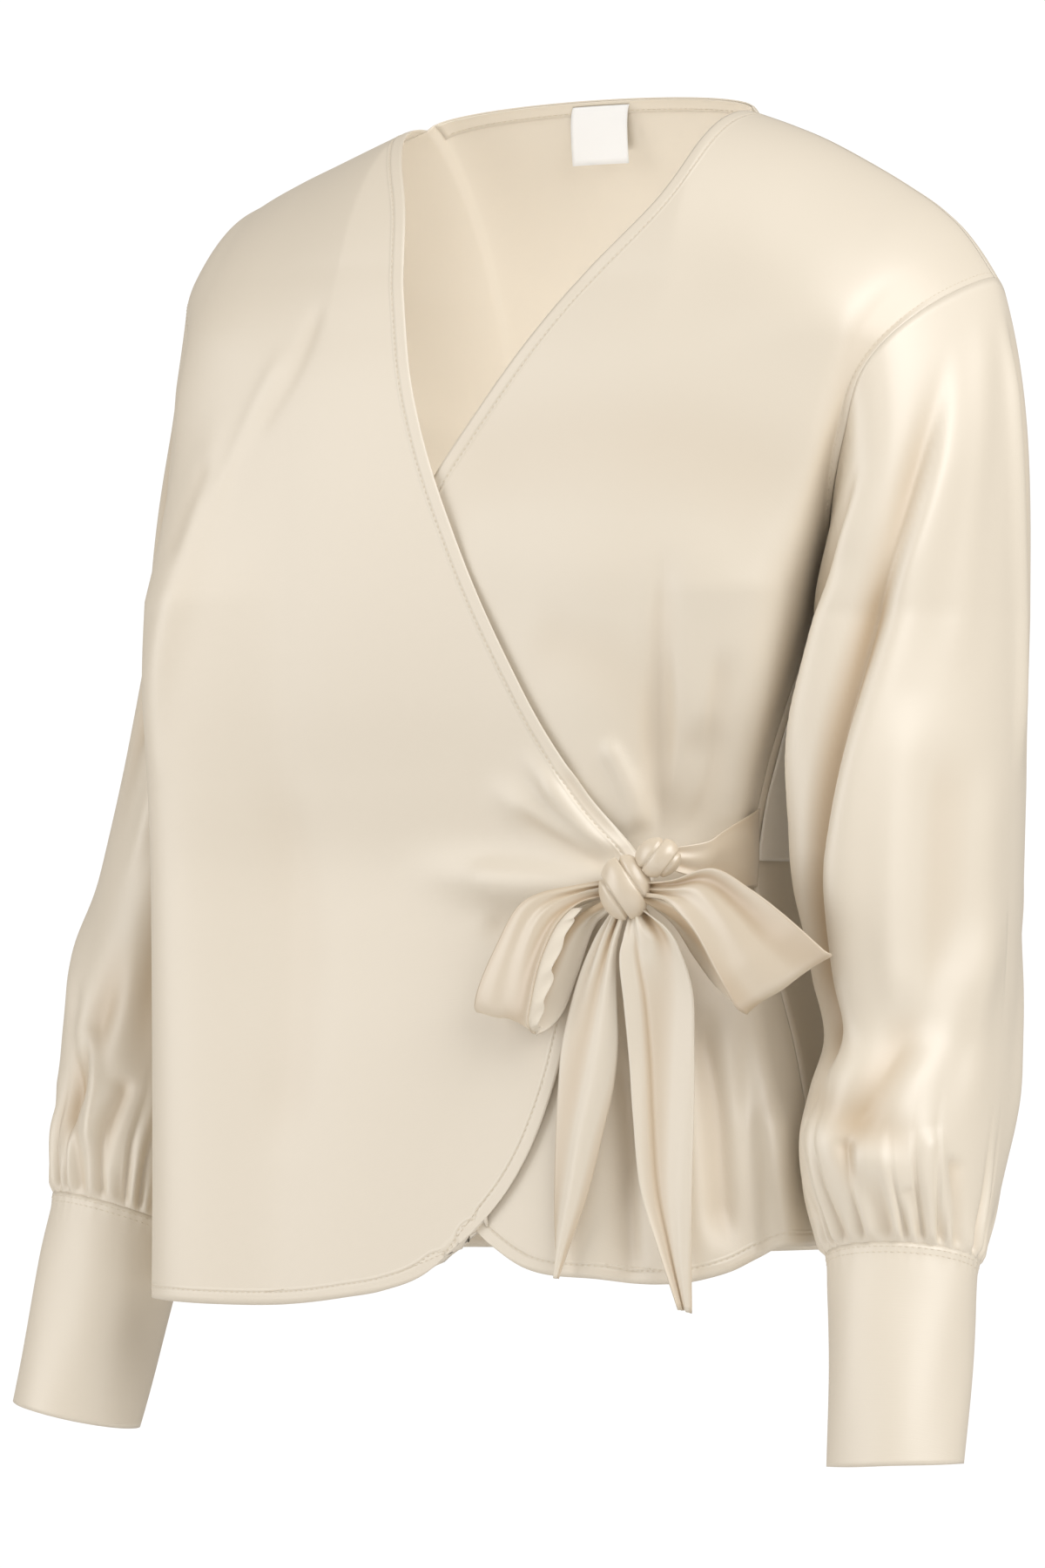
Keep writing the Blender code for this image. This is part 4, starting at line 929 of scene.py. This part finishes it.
def cloth_shader(name, colour, roughness, sheen, gloss, ior=1.5, hem=False, weave=0.03, streak=0.05):
    """Woven cloth: broad soft shine across the threads, a fine weave, shade painted into its colour in
    folds and, on panels, the stitched hem.
    """
    material = bpy.data.materials.new(name)
    material.use_nodes = True
    tree = material.node_tree
    shader = tree.nodes["Principled BSDF"]
    # Painted shade: an attribute, 1 deep in folds, mixes the colour towards a darker, warmer copy.
    painted_shade_node = tree.nodes.new("ShaderNodeAttribute")
    painted_shade_node.attribute_name = "painted_shade"
    mixed = tree.nodes.new("ShaderNodeMix")
    mixed.data_type = "RGBA"
    mixed.inputs["A"].default_value = (*colour, 1)
    mixed.inputs["B"].default_value = (*(part * share for part, share in zip(colour, PAINTED_FOLD_SHADE)), 1)
    tree.links.new(painted_shade_node.outputs["Fac"], mixed.inputs["Factor"])
    tree.links.new(mixed.outputs["Result"], shader.inputs["Base Color"])
    shader.inputs["Roughness"].default_value = roughness
    shader.inputs["Specular IOR Level"].default_value = gloss
    shader.inputs["Sheen Weight"].default_value = sheen
    shader.inputs["Sheen Roughness"].default_value = SHEEN_ROUGHNESS
    shader.inputs["Anisotropic"].default_value = ACROSS_THREADS
    shader.inputs["IOR"].default_value = ior
    tangent = tree.nodes.new("ShaderNodeTangent")
    tangent.direction_type = "UV_MAP"
    tree.links.new(tangent.outputs[0], shader.inputs["Tangent"])
    place = tree.nodes.new("ShaderNodeUVMap").outputs[0]
    stretch = tree.nodes.new("ShaderNodeMapping")
    stretch.inputs["Scale"].default_value = THREADS_A_METRE
    tree.links.new(place, stretch.inputs["Vector"])
    threads = noise_of(tree, stretch.outputs[0], 1.0, 2.0)
    cloudy = noise_of(tree, place, CLOUDS_A_METRE, 3.0)
    height = math_node(tree, "MULTIPLY", threads, weave)
    height = math_node(tree, "ADD", height, math_node(tree, "MULTIPLY", cloudy, streak))
    if hem:
        height = with_hem(tree, height)
    bump = tree.nodes.new("ShaderNodeBump")
    bump.inputs["Strength"].default_value = 1.0
    bump.inputs["Distance"].default_value = MM
    tree.links.new(height, bump.inputs["Height"])
    tree.links.new(bump.outputs[0], shader.inputs["Normal"])
    return material


def plain_shader(name, colour, roughness):
    """An even matte material."""
    material = bpy.data.materials.new(name)
    material.use_nodes = True
    shader = material.node_tree.nodes["Principled BSDF"]
    shader.inputs["Base Color"].default_value = (*colour, 1)
    shader.inputs["Roughness"].default_value = roughness
    return material


def new_piece(name, points, faces, materials, node, uv=None):
    """A mesh piece in metres that rides on the body and stands for its node."""
    mesh = bpy.data.meshes.new(name)
    mesh.from_pydata((np.asarray(points) * MM).tolist(), [], faces)
    mesh.shade_smooth()
    for material in materials:
        mesh.materials.append(material)
    if uv is not None:
        layer = mesh.uv_layers.new(name="cloth")
        corners = np.empty(len(mesh.loops), dtype=np.int64)
        mesh.loops.foreach_get("vertex_index", corners)
        layer.data.foreach_set("uv", np.asarray(uv, dtype=np.float32)[corners].ravel())
    piece = bpy.data.objects.new(name, mesh)
    bpy.context.scene.collection.objects.link(piece)
    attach(piece, "root")
    if node:
        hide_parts(node)
    return piece


def cloth_piece(name, grid, closed, flip, materials, node, wall=CLOTH, edge_mm=None, painted_shade=None):
    """A grid of points as thin cloth; its own distances give it UVs in metres."""
    rows, columns = grid.shape[:2]
    over = np.linalg.norm(np.diff(grid, axis=1), axis=2).mean(axis=0)
    down = np.linalg.norm(np.diff(grid, axis=0), axis=2)
    u = np.concatenate([[0.0], np.cumsum(over)])[None, :] * np.ones((rows, 1))
    v = np.concatenate([np.zeros((1, columns)), np.cumsum(down, axis=0)])
    uv = np.stack([u, -v], axis=-1).reshape(-1, 2) * MM
    faces = grid_faces(rows, columns, closed, flip)
    piece = new_piece(name, grid.reshape(-1, 3), faces, materials, node, uv)
    # Besides the distance from the edges, each point carries its painted shade as an attribute.
    for key, values in (("edge_mm", edge_mm), ("painted_shade", painted_shade)):
        if values is not None:
            layer = piece.data.attributes.new(key, "FLOAT", "POINT")
            layer.data.foreach_set("value", values.reshape(-1).astype(np.float32))
    shell = piece.modifiers.new("cloth", "SOLIDIFY")
    shell.thickness = wall * MM
    shell.offset = -1.0
    shell.use_rim = True
    shell.material_offset = len(materials) - 1
    return piece


def grid_faces(rows, columns, closed, flip):
    """Quads of a grid of rows by columns points."""
    faces = []
    last = columns if closed else columns - 1
    for row in range(rows - 1):
        for k in range(last):
            after = (k + 1) % columns
            quad = (row * columns + k, (row + 1) * columns + k,
                    (row + 1) * columns + after, row * columns + after)
            faces.append(quad[::-1] if flip else quad)
    return faces


def distance_to(grid, *lines):
    """The least distance of each point of a grid to the points of some lines."""
    flat = grid.reshape(-1, 3)
    least = np.full(len(flat), 1e9)
    for line in lines:
        for low, high in zip(line[:-1], line[1:]):
            along = high - low
            part = np.clip(((flat - low) @ along) / max(along @ along, 1e-9), 0, 1)
            least = np.minimum(least, np.linalg.norm(flat - low - part[:, None] * along, axis=1))
    return least.reshape(grid.shape[:2])


def level_line(grid, normals, field, level, by_rows, backwards=False):
    """Points and normals where a field first reaches a level, along each row or column."""
    if not by_rows:
        grid, normals, field = grid.swapaxes(0, 1), normals.swapaxes(0, 1), field.T
    if backwards:
        grid, normals, field = grid[:, ::-1], normals[:, ::-1], field[:, ::-1]
    found = []
    for points, outs, values in zip(grid, normals, field):
        over = np.flatnonzero(values >= level)
        if len(over) == 0 or over[0] == 0:
            continue
        k = over[0]
        part = (level - values[k - 1]) / (values[k] - values[k - 1])
        found.append([row[k - 1] * (1 - part) + row[k] * part for row in (points, outs)])
    return np.array([point for point, _ in found]), np.array([normal for _, normal in found])


def stitches(name, lines, material):
    """Short raised threads along lines of points, each with the cloth's normal there."""
    points, faces = [], []
    for line, normals in lines:
        if len(line) < 2:
            continue
        run = np.concatenate([[0.0], np.cumsum(np.linalg.norm(np.diff(line, axis=0), axis=1))])
        starts = np.arange(1.0, run[-1] - STITCH_LONG, STITCH_LONG + STITCH_GAP)
        for first in starts:
            at = [first, first + STITCH_LONG * 0.5, first + STITCH_LONG]
            spine = np.array([[np.interp(s, run, line[:, k]) for k in range(3)] for s in at])
            out = np.array([np.interp(at[1], run, normals[:, k]) for k in range(3)])
            out = out / max(np.linalg.norm(out), 1e-9)
            along = spine[2] - spine[0]
            along = along / max(np.linalg.norm(along), 1e-9)
            across = np.cross(along, out)
            base = len(points)
            for centre, lift, size in zip(spine, THREAD_LIFT, THREAD_SIZE):
                for turn in range(4):
                    angle = math.pi / 4 + turn * math.pi / 2
                    ring = across * math.cos(angle) + out * math.sin(angle) * THREAD_FLAT
                    points.append(centre + out * lift + ring * THREAD * size * THREAD_FLAT)
            for ring in (0, 4):
                for k in range(4):
                    j = (k + 1) % 4
                    quad = (ring + k, ring + j, ring + 4 + j, ring + 4 + k)
                    faces.append(tuple(base + index for index in quad))
            faces.append((base + 3, base + 2, base + 1, base))
            faces.append((base + 8, base + 9, base + 10, base + 11))
    return new_piece(name, points, faces, [material], None)


def painted_fold_shade(lift):
    """Painted shade for each point, 0 to 1: the deeper it lies in a fold, by its height over the smooth
    cloth, the darker its colour is painted.
    """
    return np.clip(-lift / PAINTED_SHADE_FULL_DEPTH, 0, 1)


def fine_front(right):
    """A front's points with its creases, its normals, its distance from the finished edges and the shade
    painted in its creases.
    """
    grid = front_grid(right, FINE_ROWS_TOP, FINE_ROWS_LOW, FINE_COLUMNS)
    side = -1.0 if right else 1.0
    out = -normals_of(grid) * side
    creases = CREASES_RIGHT if right else CREASES_LEFT
    fade = soft_step(np.linspace(1, 0, grid.shape[1]), 0.0, 0.04)[None, :]
    lift = crease_height(creases, grid[..., 0], grid[..., 2]) * fade
    grid = grid + out * lift[..., None]
    out = -normals_of(grid) * side
    edge_mm = distance_to(grid, grid[:, 0], grid[-1])
    return grid, out, edge_mm, painted_fold_shade(lift * FRONT_PAINTED_SHADE_SHARE)


def make_front(right, outside, inside, thread):
    """A front with the stitches along its finished edges and beside its armhole."""
    grid, out, edge_mm, painted_shade = fine_front(right)
    node = "front_right" if right else "front_left"
    piece = cloth_piece(node + "_cloth", grid, False, right, [outside, inside], node,
                        edge_mm=edge_mm, painted_shade=painted_shade)
    lines = [level_line(grid, out, edge_mm, STITCH_IN, True),
             level_line(grid, out, edge_mm, STITCH_IN, False, backwards=True)]
    hole = grid[:FINE_ROWS_TOP + 1, -1]
    top = grid[:FINE_ROWS_TOP + 1]
    lines.append(level_line(top, out[:FINE_ROWS_TOP + 1], distance_to(top, hole), ARMHOLE_STITCH_IN, True,
                            backwards=True))
    sewn = stitches(node + "_stitches", lines, thread)
    return grid


def eased(grid):
    """The back with the short ridges under the ends of the neck's arc smoothed, and its top line kept."""
    reach = EASE_COLUMNS
    weights = np.hanning(2 * reach + 3)[1:-1]
    weights = weights / weights.sum()
    depth = np.pad(grid[..., 1], ((0, 0), (reach, reach)), mode="reflect", reflect_type="odd")
    smooth = np.stack([np.convolve(row, weights, mode="valid") for row in depth])
    share = soft_step(np.arange(len(grid)), 0, EASE_ROWS)[:, None] * np.ones(grid.shape[:2])
    share = share * soft_step(1 - np.abs(np.linspace(-1, 1, grid.shape[1])), 0.05, 0.2)[None, :]
    grid = grid.copy()
    grid[..., 1] += (smooth - grid[..., 1]) * share
    return grid


def make_back(outside, inside, thread):
    """The back with the stitches of its hem and its neck."""
    grid = eased(back_grid(FINE_ROWS_TOP, BACK_FINE_LOW, BACK_FINE_COLUMNS))
    out = normals_of(grid)
    share = np.abs(np.linspace(-1, 1, grid.shape[1]))[None, :]
    fade = soft_step(1 - share, 0.0, 0.12)
    grid = grid + out * (crease_height(CREASES_BACK, grid[..., 0], grid[..., 2]) * fade)[..., None]
    out = normals_of(grid)
    neck = grid[0, np.abs(grid[0, :, 0]) <= NECK_X]
    edge_mm = np.minimum(distance_to(grid, grid[-1]), distance_to(grid, neck) + 1.0)
    piece = cloth_piece("back_cloth", grid, False, True, [outside, inside], "back",
                        edge_mm=edge_mm)
    lines = [level_line(grid, out, distance_to(grid, grid[-1]), STITCH_IN, False, backwards=True)]
    middle = np.flatnonzero(np.abs(grid[0, :, 0]) < NECK_X - 4)
    part = grid[:, middle]
    lines.append(level_line(part, out[:, middle], distance_to(part, neck), STITCH_IN - 1.0, False))
    sewn = stitches("back_stitches", lines, thread)
    return grid


def fine_gathers(turn, below):
    """The gathers over a cuff: uneven in place, reach and depth."""
    place = turn + GATHER_WANDER * np.sin(5.0 * turn + 1.3) + 0.03 * np.sin(11.0 * turn)
    wave = np.cos(GATHERS * place)
    sharp = np.sign(wave) * np.abs(wave) ** 0.8
    which = np.floor(GATHERS * place / (2 * math.pi) + 0.5)
    luck = 0.5 + 0.5 * np.sin(which * 2.4 + 1.0)
    reach = GATHER_SHORT + (GATHER_LONG - GATHER_SHORT) * luck**2
    fade = np.exp(-((below / reach) ** 2)) * soft_step(below, -1.0, 5.0)
    return GATHER_HEIGHT * (0.55 + 0.45 * luck) * sharp * fade


def fine_sleeve(near):
    """A sleeve's rows from the armhole to the cuff, with creases and gathers, and the shade painted in
    them.
    """
    table = SLEEVE_NEAR if near else SLEEVE_FAR
    folds = NEAR_SLEEVE_FOLDS if near else FAR_SLEEVE_FOLDS
    creases = CREASES_NEAR if near else CREASES_FAR
    side = 1.0 if near else -1.0
    tip_z = NEAR_TIP_Z if near else FAR_TIP_Z
    turn = np.linspace(0, 2 * math.pi, SLEEVE_AROUND + 1)[:-1]
    seam = armhole(near, SLEEVE_AROUND)
    full = sleeve_ring(near, CAP_Z, turn)
    reach = np.linalg.norm(full - seam, axis=1, keepdims=True)
    leave = full - seam
    leave[:, 0] += side * (CAP_FULLNESS_NEAR if near else CAP_FULLNESS_FAR) * reach[:, 0]
    arrive = np.array([0.0, 0.0, -1.0]) * reach
    rows, heights = [], []
    for part in np.linspace(0, 1, CAP_FINE_ROWS + 1)[:-1]:
        rows.append((2 * part**3 - 3 * part**2 + 1) * seam + (part**3 - 2 * part**2 + part) * leave
                    + (3 * part**2 - 2 * part**3) * full + (part**3 - part**2) * arrive)
        heights.append(tip_z + (CAP_Z - tip_z) * part)
    bottom = table[0][0] - RUN_IN
    levels = np.concatenate([np.linspace(CAP_Z, SLEEVE_LOW_START, ARM_FINE_ROWS + 1)[:-1],
                             SLEEVE_LOW_START + (bottom - SLEEVE_LOW_START)
                             * np.linspace(0, 1, GATHER_FINE_ROWS) ** 0.8])
    for z in levels:
        rows.append(sleeve_ring(near, z, turn))
        heights.append(z)
    grid = np.array(rows)
    heights = np.array(heights)[:, None] * np.ones((1, SLEEVE_AROUND))
    turns = np.ones((len(rows), 1)) * np.degrees(turn)[None, :]
    lift = fold_height(folds, turns, heights, u_scale=MM_PER_DEGREE)
    lift = lift * soft_step(-heights, *FOLDS_FROM)
    for shift in (0.0, 360.0):
        lift = lift + crease_height(creases, turns - shift, heights)
    lift = lift * soft_step(heights, table[0][0] + CUFF_CALM[0], table[0][0] + CUFF_CALM[1])
    lift = lift * soft_step(-heights, -tip_z, -tip_z + SEAM_CALM)
    lift = lift + fine_gathers(turns * math.pi / 180, heights - table[0][0])
    lift = lift - TUCK * (1 - soft_step(heights, bottom, bottom + 2.0))
    wrapped = np.concatenate([grid[:, -1:], grid, grid[:, :1]], axis=1)
    out = normals_of(wrapped)[:, 1:-1] * side
    return grid + out * lift[..., None], painted_fold_shade(lift)


def make_sleeve(near, outside, inside):
    """A full sleeve, gathered at its cuff."""
    name = "sleeve_left" if near else "sleeve_right"
    grid, painted_shade = fine_sleeve(near)
    piece = cloth_piece(name + "_cloth", grid, True, near, [outside, inside], name, painted_shade=painted_shade)


def fine_cuff(rows, side):
    """A cuff's points, with the soft unevenness of double cloth."""
    grid = cuff_grid(rows, side, CUFF_AROUND, CUFF_LEVELS)
    turn = np.linspace(0, 2 * math.pi, CUFF_AROUND + 1)[:-1][None, :]
    down = np.linspace(0, 1, CUFF_LEVELS + 1)[:, None]
    wave = 0.5 * np.sin(3 * turn + 4 * down + side) + 0.35 * np.sin(5 * turn - 5 * down)
    pucker = 0.25 * np.sin(31 * turn + 2 * np.sin(5 * turn)) * np.exp(-((down / 0.07) ** 2))
    wrapped = np.concatenate([grid[:, -1:], grid, grid[:, :1]], axis=1)
    out = normals_of(wrapped)[:, 1:-1] * side
    lip = CUFF_LIP * (1 - soft_step(down, 0.005, 0.06))
    return grid + out * (wave * soft_step(down, 0.0, 0.3) + pucker + lip)[..., None], out


def make_cuff(rows, side, outside, inside, thread):
    """A closed cuff with two rows of stitches under its seam."""
    name = "cuff_left" if side > 0 else "cuff_right"
    grid, out = fine_cuff(rows, side)
    down = np.linalg.norm(np.diff(grid, axis=0), axis=2)
    depth = np.concatenate([np.zeros((1, grid.shape[1])), np.cumsum(down, axis=0)])
    piece = cloth_piece(name + "_cloth", grid, True, side > 0, [outside, inside], name,
                        wall=CUFF_CLOTH)
    lines = []
    for level in CUFF_STITCHES_IN:
        line, normals = level_line(grid, out, depth, level, False)
        lines.append((np.concatenate([line, line[:1]]), np.concatenate([normals, normals[:1]])))
    sewn = stitches(name + "_stitches", lines, thread)


def make_neck_pieces(back, inside, label_cloth, thread):
    """The binding with its stitch line, and the blank label."""
    middle = back.shape[1] // 2
    inner = np.flatnonzero(np.abs(back[0, :, 0]) < NECK_X)
    low = row_below(back, middle, BINDING_HEIGHT)
    columns = (inner[0], inner[-1])
    grid = patch_on(back, (0.2, low), columns, -(CLOTH + BINDING_IN), BINDING_ROWS, len(inner))
    piece = cloth_piece("neck_binding_cloth", grid, False, True, [inside, inside], "neck_binding",
                        wall=THIN_CLOTH)
    columns = (inner[0] + 1, inner[-1] - 1)
    line = patch_on(back, (low * 0.86, low * 0.9), columns, -(CLOTH + BINDING_STITCH_IN), 2, len(inner))
    sewn = stitches("neck_binding_stitches", [(line[0], -normals_of(line)[0])], thread)
    ends = np.interp([LABEL_X - LABEL_WIDTH / 2, LABEL_X + LABEL_WIDTH / 2], back[1, :, 0],
                     np.arange(back.shape[1]))
    top = row_below(back, middle, LABEL_TOP)
    low = row_below(back, middle, BINDING_HEIGHT + 0.5 + LABEL_HEIGHT)
    grid = patch_on(back, (top, low), ends, -(CLOTH + LABEL_IN), *LABEL_POINTS)
    hang = np.linspace(0, 1, LABEL_POINTS[0])[:, None, None]
    grid = grid + hang * np.array(LABEL_HANG)
    piece = cloth_piece("neck_label_cloth", grid, False, True, [label_cloth, label_cloth], "neck_label",
                        wall=THIN_CLOTH)


def make_facing(back, matte_and_painted_light):
    """The matte strip on the back beside the near side seam; its colour is raised as painted light for the
    shade there.
    """
    last = back.shape[1] - 1
    per_column = last / BACK_COLUMNS
    top = row_below(back, last, back[0, last, 2] - FACING_TOP_Z)
    low = row_below(back, last, back[0, last, 2] - FACING_LOW_Z)
    columns = (last - FACING_COLUMNS_WIDE * per_column, last - 0.12 * per_column)
    grid = patch_on(back, (top, low), columns, FACING_OFF, *FACING_POINTS)
    down = np.linspace(0, 1, FACING_POINTS[0])[:, None]
    over = np.linspace(0, 1, FACING_POINTS[1])[None, :]
    ripple = 0.42 * np.sin(9 * down + 5 * over) * np.sin(3 * over * math.pi)
    ripple = ripple + 0.24 * np.sin(23 * down - 6 * over)
    grid = grid + normals_of(grid) * ripple[..., None]
    piece = cloth_piece("side_facing_cloth", grid, False, True, [matte_and_painted_light, matte_and_painted_light], "side_facing")


def pleats(grid, ends, depth, count, seed, line_depth=0.0):
    """Lengthwise pleats in a ribbon, deepest where it is pinched at the knot."""
    rows, columns = grid.shape[:2]
    along = np.linspace(0, 1, rows)[:, None]
    over = np.linspace(0, 1, columns)[None, :]
    pinch = np.zeros((rows, 1))
    for end in ends:
        pinch = np.maximum(pinch, np.exp(-((along - end) / 0.22) ** 2))
    shift = 0.25 * np.sin(seed + 5 * along)
    wave = np.cos(2 * math.pi * (count * over + shift)) * np.sin(math.pi * over) ** 0.5
    slow = np.sin(2 * math.pi * (over * 1.1 + 0.6 * along) + seed)
    lift = wave * depth * (0.12 + pinch) + slow * depth * 0.5
    lift = lift + line_depth * np.exp(-(((over - 0.24 - 0.06 * along) / 0.045) ** 2))
    return grid + normals_of(grid) * lift[..., None], lift


def make_bow(right_front, outside, unshaded_satin, inside):
    """The ties as pleated ribbons and the knot that they run into; the strap, loops and knot are of a
    darker copy of the satin, which is painted shade, and the tails are of the body's satin.
    """
    near = np.hypot(right_front[..., 0] - KNOT_X, right_front[..., 2] - KNOT_Z) < KNOT_SEAT_REACH
    seat_y = right_front[near][:, 1].min()
    centre = np.array([KNOT_X, seat_y - KNOT_HALF[1] - SEAT_GAP, KNOT_Z])
    top = centre + np.array(KNOT_TOP_SHIFT)
    for name, rows, end, middle, half in (
        ("tie_strap", STRAP, -1, top, KNOT_TOP_HALF),
        ("tie_loop_inner", LOOP_INNER, 0, centre, KNOT_HALF),
        ("tie_loop_outer", LOOP_OUTER, 0, centre, KNOT_HALF),
        ("tie_tail_front", TAIL_FRONT, 0, centre, KNOT_HALF),
        ("tie_tail_back", TAIL_BACK, 0, centre, KNOT_HALF),
    ):
        rows = seat(rows, end, middle, half)
        if name.startswith("tie_loop"):
            rows = seat(rows, -1, middle, half)
        grid = ribbon_grid(rows, TIE_ROWS, TIE_STRIPS, RIBBON_CUP[name])
        grid, lift = pleats(grid, *PLEATS[name])
        outward = 1.0 if RIBBON_FLIP[name] else -1.0
        # The strap, loops and knot get the darker satin as painted shade; the tails get the body's satin,
        # and pleats get painted shade in their hollows.
        satin = unshaded_satin if name.startswith("tie_tail") else outside
        piece = cloth_piece(name + "_cloth", grid, False, RIBBON_FLIP[name], [satin, inside], name,
                            wall=TIE_CLOTH, painted_shade=painted_fold_shade(outward * lift * TIE_PAINTED_SHADE))
        extra = [make_ruffle(grid, inside)] if name == "tie_loop_inner" else []
    make_knot(centre, top, outside)


def make_ruffle(loop, pale):
    """The pale folded edge that shows along the mouth of the left loop."""
    edge = loop[RUFFLE_ROWS[0]:RUFFLE_ROWS[1], -1]
    along = np.linspace(0, 1, len(edge))[:, None]
    over = np.linspace(0, 1, 12)[None, :]
    width = RUFFLE_WIDTH * np.sin(math.pi * np.clip(along * 0.9 + 0.08, 0, 1)) ** 0.5
    wave = np.sin(2 * math.pi * (5.3 * along + 0.4 * over)) * (0.4 + 0.6 * np.sin(7 * along + 1.0) ** 2)
    x = edge[:, None, 0] + over * width * (1 + 0.15 * wave)
    y = edge[:, None, 1] + 1.2 + over * 2.0 + over * wave * 1.6
    z = edge[:, None, 2] - over * width * 0.15 + over * wave * 1.2
    ruffle = np.stack([x, y, z], axis=-1)
    return cloth_piece("tie_loop_inner_ruffle", ruffle, False, False, [pale, pale], None,
                       wall=THIN_CLOTH)


def knot_turn(name, centre, half, axis, ridges, material, node):
    """One turn of the knot: a rounded form with folds that run round the axis."""
    rows, columns = KNOT_POINTS
    polar = np.linspace(0.001, math.pi - 0.001, rows)[:, None]
    turn = np.linspace(0, 2 * math.pi, columns + 1)[:-1][None, :]
    unit = np.stack([np.sin(polar) * np.cos(turn), np.sin(polar) * np.sin(turn),
                     np.cos(polar) * np.ones_like(turn)], axis=-1)
    axis = np.array(axis) / np.linalg.norm(axis)
    along = unit @ axis
    lift = np.zeros(along.shape)
    for place, depth, width in ridges:
        lift += depth * np.exp(-((along - place) / width) ** 2)
    grid = centre + unit * np.array(half) * (1 + lift)[..., None]
    faces = grid_faces(rows, columns, True, False)
    return new_piece(name, grid.reshape(-1, 3), faces, [material], node)


def make_knot(centre, top, material):
    """The knot over the wrap and the smaller turn above it."""
    knot_turn("tie_knot_turn", centre, KNOT_HALF, KNOT_AXIS, KNOT_RIDGES, material, "tie_knot")
    knot_turn("tie_knot_upper", top, KNOT_TOP_HALF, KNOT_TOP_AXIS, KNOT_TOP_RIDGES, material, None)


def look_at(thing, place, target):
    """Puts a lamp or camera at a place and turns it to a target."""
    thing.location = place
    away = mathutils.Vector(target) - mathutils.Vector(place)
    thing.rotation_euler = away.to_track_quat("-Z", "Y").to_euler()


def area_light(name, place, target, size, watts):
    """A soft rectangular lamp at a place, turned to a target."""
    light = bpy.data.lights.new(name, "AREA")
    light.shape = "RECTANGLE"
    light.size, light.size_y = size
    light.energy = watts
    lamp = bpy.data.objects.new(name, light)
    look_at(lamp, place, target)
    bpy.context.scene.collection.objects.link(lamp)
    return lamp


def make_surround(scene):
    """A surround that is white to the camera and pale and warm as light."""
    world = bpy.data.worlds.new("surround")
    scene.world = world
    world.use_nodes = True
    tree = world.node_tree
    sky = tree.nodes["Background"]
    seen = tree.nodes.new("ShaderNodeLightPath").outputs["Is Camera Ray"]
    colour = tree.nodes.new("ShaderNodeMix")
    colour.data_type = "RGBA"
    colour.inputs["A"].default_value = (*BOUNCE, 1)
    colour.inputs["B"].default_value = (1, 1, 1, 1)
    tree.links.new(seen, colour.inputs["Factor"])
    tree.links.new(colour.outputs["Result"], sky.inputs["Color"])
    strength = math_node(tree, "MULTIPLY", seen, SEEN_SURROUND - AMBIENT)
    strength = math_node(tree, "ADD", strength, AMBIENT)
    tree.links.new(strength, sky.inputs["Strength"])


def make_floor(scene):
    """A plain pale floor under the blouse."""
    mesh = bpy.data.meshes.new("floor")
    corners = [(x * FLOOR_HALF, y * FLOOR_HALF, FLOOR_Z) for x, y in ((-1, -1), (1, -1), (1, 1), (-1, 1))]
    mesh.from_pydata(corners, [], [(0, 1, 2, 3)])
    mesh.materials.append(plain_shader("floor_white", FLOOR_WHITE, 0.9))
    floor = bpy.data.objects.new("floor", mesh)
    scene.collection.objects.link(floor)


def make_studio():
    """A plain pale floor, a pale surround, broad soft lights and the camera."""
    scene = bpy.context.scene
    scene.view_settings.view_transform = "Standard"
    make_surround(scene)
    make_floor(scene)
    angle = math.radians(CAMERA_TURN)
    right = mathutils.Vector((math.cos(angle), math.sin(angle), 0))
    back = mathutils.Vector((math.sin(angle), -math.cos(angle), 0))
    up = mathutils.Vector((0, 0, 1))
    middle = right * CAMERA_ACROSS
    aim = middle + up * LIT_Z
    for name, (over, away, high), size, watts in LIGHTS:
        area_light(name, aim + right * over + back * away + up * high, aim, size, watts)
    lamp = area_light("in_the_neck", *NECK_LAMP)
    lamp.visible_camera = False
    camera_data = bpy.data.cameras.new("camera")
    camera_data.lens = CAMERA_LENS
    camera_data.sensor_width = 36.0
    camera = bpy.data.objects.new("camera", camera_data)
    scene.collection.objects.link(camera)
    look_at(camera, middle + back * CAMERA_AWAY + up * CAMERA_Z, middle + up * CAMERA_AIM_Z)
    scene.camera = camera


def main():
    outside = cloth_shader("satin_outside", SATIN, 0.47, 0.1, 0.75, 1.7)
    # The ties' satin is darker as painted shade.
    tie_satin_painted_shade = cloth_shader("satin_of_ties_painted_shade", SATIN_TIE_PAINTED_SHADE, 0.40, 0.08, 0.85, 1.75)
    panel = cloth_shader("satin_panel", SATIN, 0.47, 0.1, 0.75, 1.7, hem=True)
    inside = cloth_shader("satin_wrong_side", SATIN_INSIDE, 0.6, 0.2, 0.3)
    # The matte strip's colour is raised as painted light.
    matte_and_painted_light = cloth_shader("matte_patch_painted_light", MATTE_AND_PAINTED_LIGHT, 0.75, 0.2, 0.2, weave=0.05, streak=0.2)
    label_cloth = cloth_shader("label_cloth", LABEL_WHITE, 0.6, 0.1, 0.3)
    thread = plain_shader("thread", THREAD_COLOUR, 0.6)
    make_studio()
    back = make_back(panel, inside, thread)
    right_front = make_front(True, panel, inside, thread)
    make_front(False, panel, inside, thread)
    make_sleeve(True, outside, inside)
    make_sleeve(False, outside, inside)
    make_cuff(CUFF_NEAR, 1.0, outside, inside, thread)
    make_cuff(CUFF_FAR, -1.0, outside, inside, thread)
    make_neck_pieces(back, inside, label_cloth, thread)
    make_facing(back, matte_and_painted_light)
    make_bow(right_front, tie_satin_painted_shade, outside, inside)


main()
